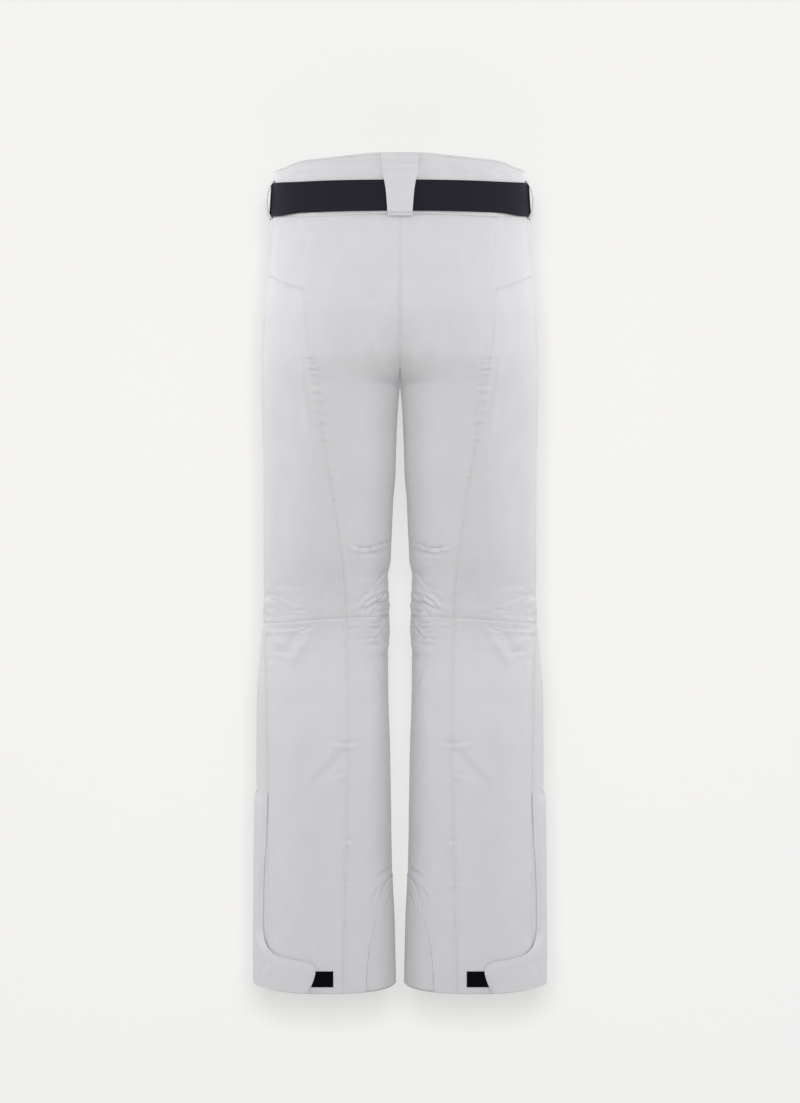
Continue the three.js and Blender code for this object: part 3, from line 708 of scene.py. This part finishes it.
INNER, OUTER, FRONT = 90, 104, 260  # the panels' widths, which set how finely each is divided
HIP_PANELS = (
    # name, left edge, right edge, top, bottom, (width, height), step, edge kinds, the nodes it stands for
    ("seat", centre_seam_angle, back_seam, waist_line, at(MID_THIGH_Z), (INNER, 430), (1.8, 2.4),
     (CENTRE_SEAM, BACK_SEAM, SEAM, PLAIN), ("seat_panel", "thigh_back_inner", "hip_bend")),
    ("side_yoke", back_seam, side_seam, waist_line, lambda a, z: yoke_seam_z(a), (OUTER, 85), (2.2, 2.4),
     (BACK_SEAM, SEAM, SEAM, SEAM), ("side_yoke",)),
    ("thigh_outer", back_seam, side_seam, lambda a, z: yoke_seam_z(a), at(MID_THIGH_Z), (OUTER, 350),
     (2.2, 2.4), (BACK_SEAM, SIDE_SEAM, SEAM, PLAIN), ("thigh_back_outer",)),
    ("front", side_seam, front_centre, waist_line, at(MID_THIGH_Z), (FRONT, 430), (3.6, 3.0),
     (SIDE_SEAM, SEAM, SEAM, PLAIN), ("front_panel", "thigh_front")),
)


def calf_step(share):
    """Rows are closer together just below the knee seam, where the cloth is most creased."""
    return 1.2 + 1.4 * smooth(0.15, 0.25, share)


KNEE_PANELS = (
    # name, left edge, right edge, their kinds, (width, height), step, the nodes it stands for
    ("knee_inner", at(0.0), back_seam, (SEAM, BACK_SEAM), (INNER, 74), (1.8, 1.2), ("knee_bend",)),
    ("knee_outer", back_seam, side_seam, (BACK_SEAM, SIDE_SEAM), (OUTER, 76), (2.2, 1.2), ()),
    ("knee_front", side_seam, at(360.0), (SIDE_SEAM, SEAM), (FRONT, 78), (3.6, 2.0), ()),
)
CALF_PANELS = (
    ("calf_inner", at(0.0), back_seam, (SEAM, BACK_SEAM), (INNER, 470), (1.8, calf_step), ("calf_inner",)),
    ("calf_outer", back_seam, side_seam, (BACK_SEAM, SIDE_SEAM), (OUTER, 470), (2.2, calf_step),
     ("calf_outer",)),
    ("shin_front", side_seam, at(360.0), (SIDE_SEAM, SEAM), (FRONT, 462), (3.6, 3.0), ("shin_front",)),
)


def add_legs():
    for name, left, right, top, bottom, size, step, kinds, nodes in HIP_PANELS:
        cloth = cloth_grid(left, right, top, bottom, size, step, kinds)
        if name in ("seat", "front"):
            cloth["points"][..., 0] = np.maximum(cloth["points"][..., 0], 0.0)
        for side, mirror in SIDES:
            made = thicken(build(f"{name}_cloth_{side}", cloth, mirror), CLOTH_THICK, (SHELL, LINING))
            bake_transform(made)
            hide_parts(*[f"{n}_{side}" for n in nodes])
    knee_line = lambda angle, z: knee_seam_z(angle)
    levels = (
        (KNEE_PANELS, at(MID_THIGH_Z), knee_line, (PLAIN, KNEE_SEAM)),
        (CALF_PANELS, knee_line, hem_line, (KNEE_SEAM, EDGE)),
    )
    for panels, top, bottom, ends in levels:
        for name, left, right, kinds, size, step, nodes in panels:
            cloth = cloth_grid(left, right, top, bottom, size, step, (*kinds, *ends))
            for side, mirror in SIDES:
                made = thicken(build(f"{name}_cloth_{side}", cloth, mirror), CLOTH_THICK, (SHELL, LINING))
                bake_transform(made)
                if nodes:
                    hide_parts(*[f"{n}_{side}" for n in nodes])


def add_pair(name, cloth, thick, material, body, node, ring=False):
    """The same piece of cloth on each side, in place of a CAD node. It rides on the hips, or on a body
    of its own side."""
    for side, mirror in SIDES:
        made = thicken(build(f"{name}_{side}", cloth, mirror, ring), thick, material)
        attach(made, body if body == "hips" else f"{side}_{body}")
        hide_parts(f"{node}_{side}")


def add_single(made, body, node):
    """Sets a finished piece on a body, in place of a CAD node."""
    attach(made, body)
    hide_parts(node)


# ---- waistband, belt and loops
def waist_relief(angle, z, point):
    """The waistband: slack cloth between its seams, puckered under the belt."""
    height = 0.6 * noise(point, (40, 40, 22)) + 0.75 * noise(point, (22, 22, 7))
    height += 0.2 * noise(point, (7, 7, 6))
    below_edge = band_top(angle, z) - z
    puckered = np.exp(-(((np.abs(point[..., 0]) - BAND_JOIN_X) / 14) ** 2))
    height += 0.8 * puckered * noise(point, (16, 16, 5))
    return height - 0.6 * np.exp(-(((below_edge - 3.0) / 0.8) ** 2))


def band_top(angle, z):
    return waist_top(np.minimum(np.abs(angle), 360 - np.abs(angle)))


def band_bottom(angle, z):
    return waist_seam(np.minimum(np.abs(angle), 360 - np.abs(angle)))


def add_waistband():
    join = float(waist_angle_at_x(np.array(BAND_JOIN_X), np.array(-40.0)))
    common = dict(surface=waist_point, relief=waist_relief)
    kinds = (FLAT_SEAM, FLAT_SEAM, EDGE, SEAM)
    back = cloth_grid(at(-join), at(join), band_top, band_bottom, (250, 79), (2.6, 2.2), kinds, **common)
    made = thicken(build("waistband_back_cloth", back), 3.0, (TRIM, LINING))
    add_single(made, "hips", "waistband_back")
    front = cloth_grid(at(join), at(180.0), band_top, band_bottom, (215, 68), (3.0, 2.4), kinds, **common)
    add_pair("waistband_cloth", front, 3.0, (TRIM, LINING), "hips", "waistband")


def add_belt():
    def top(angle, z):
        return belt_top(np.abs(angle))

    def bottom(angle, z):
        return belt_top(np.abs(angle)) - BELT["height"] - 3.0 * smooth(46, 66, np.abs(angle))

    def sag(angle, z, point):
        return 0.35 * noise(point, (45, 45, 60))

    ends = at(-BELT["end"]), at(BELT["end"])
    outer = BELT["under"] + BELT["thick"]
    strap = cloth_grid(*ends, top, bottom, (830, 40), (3.0, 1.6), (EDGE, EDGE, EDGE, EDGE),
                       surface=waist_point, relief=sag, lift=outer)
    made = thicken(build("belt_elastic", strap), BELT["thick"] - 0.2, (ELASTIC,))
    add_single(made, "hips", "belt_strap")


def add_belt_loops():
    over = BELT["under"] + BELT["thick"] + 1.0
    half_width = through([(0, 24.2), (-30, 21.8), (-35, 20), (-50, 17.6), (-80, 15.4), (-84, 15.2)])
    rise = through([(0, 0.9), (-24, 1.0), (-34, over), (-75.5, over), (-79, 1.4), (-82, 1.2)])

    def relief(angle, z, point):
        rows = sum(-0.5 * np.exp(-(((z - row) / 1.4) ** 2)) for row in (-16.0, -26.0))
        swell = 0.5 * np.exp(-(((z + 21) / 4.0) ** 2)) + 0.4 * np.exp(-(((z + 9) / 5.0) ** 2))
        return rows + swell + 0.35 * noise(point, (9, 9, 7)) + 0.15 * noise(point, (4, 4, 4))

    def lift(angle, z):
        return rise(z) + 1.6

    def edge(z):
        return waist_angle_at_x(half_width(z), z)

    loop = cloth_grid(lambda z: -edge(z), edge, at(-0.4), at(-81.5), (38, 82), (1.6, 1.3), (EDGE,) * 4,
                      surface=waist_point, relief=relief, lift=lift)
    made = thicken(build("belt_loop_back_cloth", loop), 1.5, (TRIM,))
    add_single(made, "hips", "belt_loop_back")

    top, bottom, bow = -29.0, -78.0, 4.5

    def side_lift(angle, z):
        t = (top - z) / (top - bottom)
        share = np.clip(np.minimum(t, 1 - t) / 0.12, 0, 1)
        arch = np.sin(np.pi * np.clip((t - 0.1) / 0.8, 0, 1))
        return 0.8 + (over - 0.8) * share + bow * arch + 1.3

    def slack(angle, z, point):
        return 0.15 * noise(point, (6, 6, 6))

    side_loop = cloth_grid(at(79.0), at(93.0), at(top), at(bottom), (30, 58), (1.8, 1.2), (EDGE,) * 4,
                           surface=waist_point, relief=slack, lift=side_lift)
    add_pair("belt_loop_cloth", side_loop, 1.3, (TRIM,), "hips", "belt_loop")


# ---- hem: ankle patch, flap, tapes, cuff
def edge_distance(x, z, curve, low, high):
    """Distance in mm from an edge that a curve gives as x against z."""
    heights = np.linspace(high, low, 60)
    return np.abs(line_distance(x, z, np.stack([curve(heights), heights], -1))[0])


ankle_edge_x = through([(-912, 11.5), (-922, 16.4), (-940, 24.2), (-971, 31.9), (-1017, 41), (-1065, 44)])
flap_edge_x = through([
    (-809, 167), (-868, 169), (-932, 172.2), (-979, 172.7), (-990, 171.3), (-999, 167.5),
    (-1007, 161), (-1012, 153), (-1015, 140), (-1018.5, 119), (-1023, 109), (-1030, 106),
    (-1040, 108), (-1058, 115),
])
flap_height = through([(-809, 1.9), (-825, 3.1), (-860, 3.6), (-930, 4.5), (-1000, 4.9), (-1065, 4.1)])


def add_ankle_patch():
    def edge(z):
        return angle_at_x(ankle_edge_x(z), z)

    def lift(angle, z):
        x = leg_point(angle, z)[..., 0]
        distance = edge_distance(x, z, ankle_edge_x, -1065, -912)
        return 0.75 + rounded(distance, 0.7) + 0.3 * np.exp(-(((distance - 2.6) / 1.2) ** 2))

    patch = cloth_grid(lambda z: -edge(z), edge, at(-914.0), lambda a, z: hem_line(a, z) + 1, (110, 144),
                       (2.0, 2.2), (SEAM, SEAM, EDGE, EDGE), lift=lift)
    add_pair("scuff_guard_cloth", patch, 0.8, (PATCH,), "shin", "scuff_guard")


def add_hem_flap():
    hinge = 194.0
    rows = np.concatenate((
        spaced(180, 2.6, (True, False)) * 180, np.arange(180.7, 230, 0.7), np.linspace(230.5, 248, 16),
    )) / 248.0

    def left(z):
        return angle_at_x(flap_edge_x(z), z)

    def bottom(angle, z):
        return hem_line(angle, z) + 1

    angle, z = lay_out(left, at(hinge), at(-809.0), bottom, spaced(60, 1.6), rows)
    base = leg_point(angle, z)
    x = base[..., 0]
    distance = edge_distance(x, z, flap_edge_x, -1058, -809)
    distance = np.minimum(distance, -809 - z + 0.2)
    edge_height = 1.5 + 2.6 * smooth(-985, -1010, z)
    height = edge_height + (flap_height(z) - edge_height) * smooth(0, 9, distance)
    height += 0.45 * wrinkles(angle, z, base) + 0.3 * noise(base, (12, 12, 30)) + rounded(distance, 0.8)
    arc = run(base, 1)
    flap = {
        "points": base + outward(leg_point, angle, z) * height[..., None],
        "cloth": np.stack([arc, z], -1),
        "stitch_v": np.stack([distance, z + x], -1),
        "stitch_h": np.stack([0 * x + FAR, arc], -1),
    }
    add_pair("hem_flap_cloth", flap, 1.3, (TRIM,), "hem_flap", "hem_flap")


def add_tapes():
    """The hook tape on the leg, and the loop tape under the flap's tab."""
    tapes = (
        ("hook_patch", 84, 128, 1.3, "shin"),
        ("loop_patch", 113, 150, 2.3, "hem_flap"),
    )
    for name, inner, outer, raised, body in tapes:
        tape = cloth_grid(lambda z: angle_at_x(0 * z + inner, z), lambda z: angle_at_x(0 * z + outer, z),
                          at(-1030.5), at(-1050.5), (45, 20), (1.2, 1.2), (EDGE,) * 4,
                          relief=lambda a, z, p: wrinkles(a, z, p), lift=raised)
        add_pair(f"{name}_tape", tape, 0.8, (HOOKS,), body, name)


def add_snow_cuffs():
    top, bottom = -885.0, -1036.0

    def relief(angle, z, point):
        share = (top - z) / (top - bottom)
        gathers = 1.6 * share * np.sin(np.radians(angle) * 26 + 2 * noise(point, (20, 20, 40)))
        return -8 - 13 * share + gathers + 0.6 * noise(point, (18, 18, 18))

    cuff = cloth_grid(at(0.0), at(360.0), at(top), at(bottom), (480, 151), (4.0, 4.0),
                      (PLAIN, PLAIN, PLAIN, EDGE), relief=relief)
    add_pair("snow_cuff_cloth", cuff, 1.0, (LINING,), "shin", "snow_cuff", ring=True)


# ---- zips, pockets and the fly
def node_axes(name):
    """The middle of a flat CAD box, in mm, and its axes: along it, across it and out of the garment."""
    points = np.array([v.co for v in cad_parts[name].data.vertices]) / MM
    corners = np.unique(np.round(points, 3), axis=0)
    middle = corners.mean(0)
    long, _, thin = np.linalg.svd(corners - middle, full_matrices=False)[2]
    long = long * np.sign(-long[2])
    inside = np.array([centre_x(middle[2]) * np.sign(round(middle[0], 3)), 0, middle[2]])
    thin = thin * np.sign(thin @ (middle - inside))
    return middle, long, np.cross(thin, long), thin


def boxes(name, places, axes, size):
    """Many small boxes with bevelled edges in one mesh."""
    corners = np.array([(x, y, z) for x in (-1, 1) for y in (-1, 1) for z in (-1, 1)]) * np.array(size) / 2
    corners = corners @ np.array(axes)
    faces = np.array([(0, 1, 3, 2), (4, 6, 7, 5), (0, 4, 5, 1), (2, 3, 7, 6), (0, 2, 6, 4), (1, 5, 7, 3)])
    points = (np.array(places)[:, None] + corners).reshape(-1, 3) * MM
    mesh = bpy.data.meshes.new(name)
    all_faces = (np.arange(len(places))[:, None, None] * 8 + faces).reshape(-1, 4)
    mesh.from_pydata(points.tolist(), [], all_faces.tolist())
    made = bpy.data.objects.new(name, mesh)
    bpy.context.scene.collection.objects.link(made)
    bevel(made, 0.25)
    return made


def bevel(made, width):
    """Rounds the edges of a piece."""
    rounding = made.modifiers.new("rounding", "BEVEL")
    rounding.width = width * MM
    rounding.segments = 2
    rounding.limit_method = "ANGLE"


def add_zip(node, body, length):
    """Two rows of teeth that mesh down the middle of a tape."""
    middle, along, across, out = node_axes(node)
    count = int(length / TOOTH_PITCH) - 2
    steps = (np.arange(count) - (count - 1) / 2) * TOOTH_PITCH
    sides = np.where(np.arange(count) % 2 == 0, 0.9, -0.9)
    places = middle + np.outer(steps, along) + np.outer(sides, across) + out * TOOTH_RISE
    teeth = boxes(f"{node}_teeth", places, (along, across, out), TOOTH)
    teeth.data.materials.append(TEETH)
    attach(teeth, body)
    bevel(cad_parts[node], 0.3)
    repaint(node, TAPE)


def repaint(node, material):
    """Gives a CAD node a material of its own."""
    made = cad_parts[node]
    made.data.materials.clear()
    made.data.materials.append(material)


def add_pocket_welt(side, mirror):
    """A lip of cloth along each side of the pocket zip."""
    middle, along, across, out = node_axes(f"pocket_zip_{side}")
    for name, way in (("upper", -1), ("lower", 1)):
        profile = np.array([
            (3.1, 0.5), (3.0, 1.2), (3.5, 1.9), (5.5, 2.0), (8.5, 1.5), (11.5, 0.0), (14.0, -3.0),
        ])
        fine = np.linspace(0, 1, 22)
        knots = np.linspace(0, 1, len(profile))
        section = np.stack([np.interp(fine, knots, profile[:, k]) for k in (0, 1)], -1)
        steps = np.linspace(-56, 56, 60)
        ends = smooth(0, 4, 56 - np.abs(steps))[:, None]
        wobble = 0.25 * noise(np.stack([steps * 1.0, steps * 0, steps * 0], -1), (9, 9, 9))[:, None]
        lateral = way * section[:, 0] * (0.9 + 0.1 * ends)
        height = section[:, 1] * ends - 2.0 * (1 - ends) + wobble
        sideways, raised = lateral[..., None] * across, height[..., None] * out
        points = middle + steps[:, None, None] * along + sideways + raised
        arc = run(points, 1)
        upright = np.abs(arc - 3.0)
        lengthwise = 0 * arc + steps[:, None]
        welt = {
            "points": points if way * mirror > 0 else points[::-1],
            "cloth": np.stack([arc, lengthwise], -1),
            "stitch_v": np.stack([upright + 0.2, lengthwise], -1),
            "stitch_h": np.stack([0 * arc + FAR, arc], -1),
        }
        made = thicken(build(f"pocket_welt_{name}_{side}", welt), 0.8, (TRIM,))
        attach(made, "hips")


def add_pockets():
    for side, mirror in SIDES:
        add_zip(f"pocket_zip_{side}", "hips", 105)
        add_pocket_welt(side, mirror)
        for node in (f"pocket_zip_slider_{side}", f"pocket_zip_pull_{side}"):
            bevel(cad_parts[node], 0.35)
            repaint(node, METAL)

    def relief(angle, z, point):
        return -3.6 + 0.8 * noise(point, (30, 30, 30)) + 0.3 * noise(point, (10, 10, 10))

    bag = cloth_grid(at(214.0), at(250.0), lambda a, z: waist_line(a, z) - 12, at(-212.0), (66, 106),
                     (3.0, 3.0), (EDGE,) * 4, relief=relief)
    add_pair("pocket_bag_cloth", bag, 1.8, (LINING,), "hips", "pocket_bag")


def add_hem_zips():
    for side, _ in SIDES:
        add_zip(f"hem_zip_{side}", f"{side}_shin", 224)
        bevel(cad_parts[f"hem_zip_slider_{side}"], 0.35)
        repaint(f"hem_zip_slider_{side}", METAL)


def add_fly():
    add_zip("fly_zip", "hips", 105)
    for node in ("fly_zip_slider", "fly_zip_pull"):
        bevel(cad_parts[node], 0.35)
        repaint(node, METAL)
    low, high = (np.array(c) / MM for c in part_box("fly_flap"))
    across, down = spaced(high[0] - low[0], 1.8), spaced(high[2] - low[2], 2.2)
    u, v = np.meshgrid(across, down)
    fall = (high[2] - low[2]) * v
    cut = 14 * smooth(0.82, 1.0, v) ** 2
    x = (low[0] + cut) * (1 - u) + high[0] * u
    z = high[2] - fall
    distance = np.minimum(np.minimum(x - low[0] - cut, fall), np.minimum(high[0] - x, z - low[2]))
    y = low[1] - rounded(distance, 0.8) - 0.25 * noise(np.stack([x, 0 * x, z], -1), (14, 14, 30))
    points = np.stack([x, y, z], -1)[:, ::-1]
    flap = {"points": points, "cloth": np.stack([x, z], -1)[:, ::-1],
            "stitch_v": np.stack([distance, z + x], -1)[:, ::-1],
            "stitch_h": np.stack([0 * x + FAR, x], -1)[:, ::-1]}
    made = thicken(build("fly_flap_cloth", flap), 1.4, (TRIM,))
    add_single(made, "fly_flap", "fly_flap")


def add_buckle():
    for node, width in (("buckle_plate", 1.0), ("buckle_latch", 0.8), ("snap_cap", 0.4)):
        bevel(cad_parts[node], width)
        repaint(node, METAL)


def add_underlap():
    """Cloth behind the front opening."""
    def relief(angle, z, point):
        return -3.7 + 0.3 * noise(point, (20, 20, 20))

    lap = cloth_grid(at(168.0), at(192.0), lambda a, z: band_top(a, z) - 2, band_bottom, (68, 55),
                     (2.4, 2.4), (EDGE,) * 4, surface=waist_point, relief=relief)
    made = thicken(build("waist_underlap_cloth", lap), 1.4, (LINING,))
    add_single(made, "hips", "waist_underlap")


def add_hanger_loop():
    """A narrow tape inside the back waistband, with its ends turned out to where they are sewn."""
    low, high = (np.array(c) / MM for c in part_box("hanger_loop"))
    radius, half = 5.0, high[0] - 0.1
    turn = np.linspace(0, math.pi / 2, 9)
    drop = np.linspace(high[2] - low[2], radius + 1, 16)
    flat = np.linspace(-half + radius + 1, half - radius - 1, 30)
    corner = np.stack([-half + radius * (1 - np.cos(turn)), -radius * (1 - np.sin(turn))], -1)
    up = np.stack([np.full(drop.shape, -half), -drop], -1)
    across = np.stack([flat, -0.4 * np.cos(flat / half * math.pi / 2) ** 2], -1)
    path = np.concatenate((up, corner, across, corner[::-1] * (-1, 1), up[::-1] * (-1, 1)))
    width = np.linspace(0, 1, 8)
    below = -path[:, 1]
    y = low[1] + (high[1] - low[1]) * width + 3.0 * smooth(18, 26, below)[:, None]
    x, z = (np.repeat(c[:, None], len(width), 1) for c in (path[:, 0], high[2] - 0.1 + path[:, 1]))
    points = np.stack([x, y, z], -1)
    lengthwise = run(points, 0)
    tape = {"points": points[::-1], "cloth": np.stack([y, lengthwise], -1)[::-1]}
    made = thicken(build("hanger_loop_tape", tape), 1.2, (LINING,))
    add_single(made, "hips", "hanger_loop")


# ---- studio
PAGE = (0.905, 0.896, 0.880)
CAMERA_Z = -0.502
VIEW_DISTANCE = 5.0
VIEW_HEIGHT = 1.412  # metres that the picture's height covers at the garment
FLOOR_Z = -1.45
WALL_Y = -0.24


def add_camera():
    data = bpy.data.cameras.new("camera")
    data.sensor_width = 36.0
    data.lens = 36.0 * VIEW_DISTANCE / VIEW_HEIGHT
    data.clip_end = 100.0
    camera = bpy.data.objects.new("camera", data)
    camera.location = (0, VIEW_DISTANCE, CAMERA_Z)
    camera.rotation_euler = (math.radians(90), 0, math.radians(180))
    bpy.context.scene.collection.objects.link(camera)
    bpy.context.scene.camera = camera


def add_light(name, place, size, power, lit, shading=None):
    """A soft rectangular lamp aimed at the garment. It lights one collection, and only the objects
    of the other, if there is one, cast shadows in it."""
    data = bpy.data.lights.new(name, "AREA")
    data.shape = "RECTANGLE"
    data.size, data.size_y = size
    data.energy = power
    light = bpy.data.objects.new(name, data)
    light.location = place
    light.rotation_euler = (Vector((0, 0, CAMERA_Z)) - Vector(place)).to_track_quat("-Z", "Y").to_euler()
    light.light_linking.receiver_collection = lit
    light.light_linking.blocker_collection = shading
    bpy.context.scene.collection.objects.link(light)


def plane(name, corners, material):
    mesh = bpy.data.meshes.new(name)
    mesh.from_pydata(corners, [], [(0, 1, 2, 3)])
    mesh.materials.append(material)
    made = bpy.data.objects.new(name, mesh)
    bpy.context.scene.collection.objects.link(made)
    made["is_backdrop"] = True
    return made


def page_material(name, share, own_light, see_through):
    """Plain pale paper. The wall gives off light of its own, and is clear when it is seen from behind,
    so that it doesn't hide the front of the pants."""
    shader = Shader(name, roughness=0.95)
    shader.out.inputs["Base Color"].default_value = (*[c * share for c in PAGE], 1)
    shader.out.inputs["Emission Color"].default_value = (*PAGE, 1)
    shader.out.inputs["Emission Strength"].default_value = own_light
    shader.out.inputs["Specular IOR Level"].default_value = 0.0
    if see_through:
        behind = shader.add("NewGeometry").outputs["Backfacing"]
        clear = shader.add("BsdfTransparent").outputs[0]
        both = shader.add("MixShader", {0: behind, 1: shader.out.outputs[0], 2: clear}).outputs[0]
        shader.tree.links.new(both, shader.tree.nodes["Material Output"].inputs["Surface"])
    return shader.material


def add_studio():
    worn = bpy.data.collections.new("lit_garment")
    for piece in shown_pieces():
        worn.objects.link(piece)
    reach = 12.0
    floor = plane("floor", [(-reach, -reach, FLOOR_Z), (reach, -reach, FLOOR_Z), (reach, reach, FLOOR_Z),
                            (-reach, reach, FLOOR_Z)], page_material("floor_paper", 0.7, 0.0, False))
    wall = plane("wall", [(reach, WALL_Y, FLOOR_Z - 1), (-reach, WALL_Y, FLOOR_Z - 1), (-reach, WALL_Y, 6),
                          (reach, WALL_Y, 6)], page_material("wall_paper", 0.3, 0.583, True))
    # the wall neither lights the garment nor throws a shadow on it
    for ray in ("diffuse", "glossy", "shadow", "transmission", "volume_scatter"):
        setattr(wall, "visible_" + ray, False)
    paper = bpy.data.collections.new("lit_paper")
    for piece in (floor, wall):
        paper.objects.link(piece)
    world = bpy.data.worlds.new("studio")
    world.use_nodes = True
    background = world.node_tree.nodes["Background"]
    background.inputs["Color"].default_value = (0.97, 0.985, 1.0, 1)
    background.inputs["Strength"].default_value = 0.5
    bpy.context.scene.world = world
    add_light("paper_lamp", (0, VIEW_DISTANCE, CAMERA_Z + 0.42), (0.85, 0.85), 240, paper)
    belted = bpy.data.collections.new("belt_and_loops")
    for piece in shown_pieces():
        if piece.name.startswith("belt"):
            belted.objects.link(piece)
    for side, mirror in SIDES:
        add_light(f"{side}_softbox", (mirror * 3.0, 0.2, 0.8), (1.4, 1.6), 29, worn)
        add_light(f"front_{side}_softbox", (mirror * 2.4, -2.4, 0.9), (1.8, 2.2), 46, worn)
        # the legs cast no shadow in this one, so it lights their insides too
        add_light(f"inner_{side}_softbox", (mirror * 3.0, 1.0, 1.1), (1.4, 1.6), 29, worn, belted)
    add_light("fill_softbox", (0, 3.8, 0.2), (1.6, 1.4), 55, worn)
    bpy.context.scene.view_settings.view_transform = "Standard"


add_camera()
add_legs()
add_waistband()
add_belt()
add_belt_loops()
add_ankle_patch()
add_hem_flap()
add_tapes()
add_snow_cuffs()
add_pockets()
add_hem_zips()
add_fly()
add_buckle()
add_underlap()
add_hanger_loop()
add_studio()
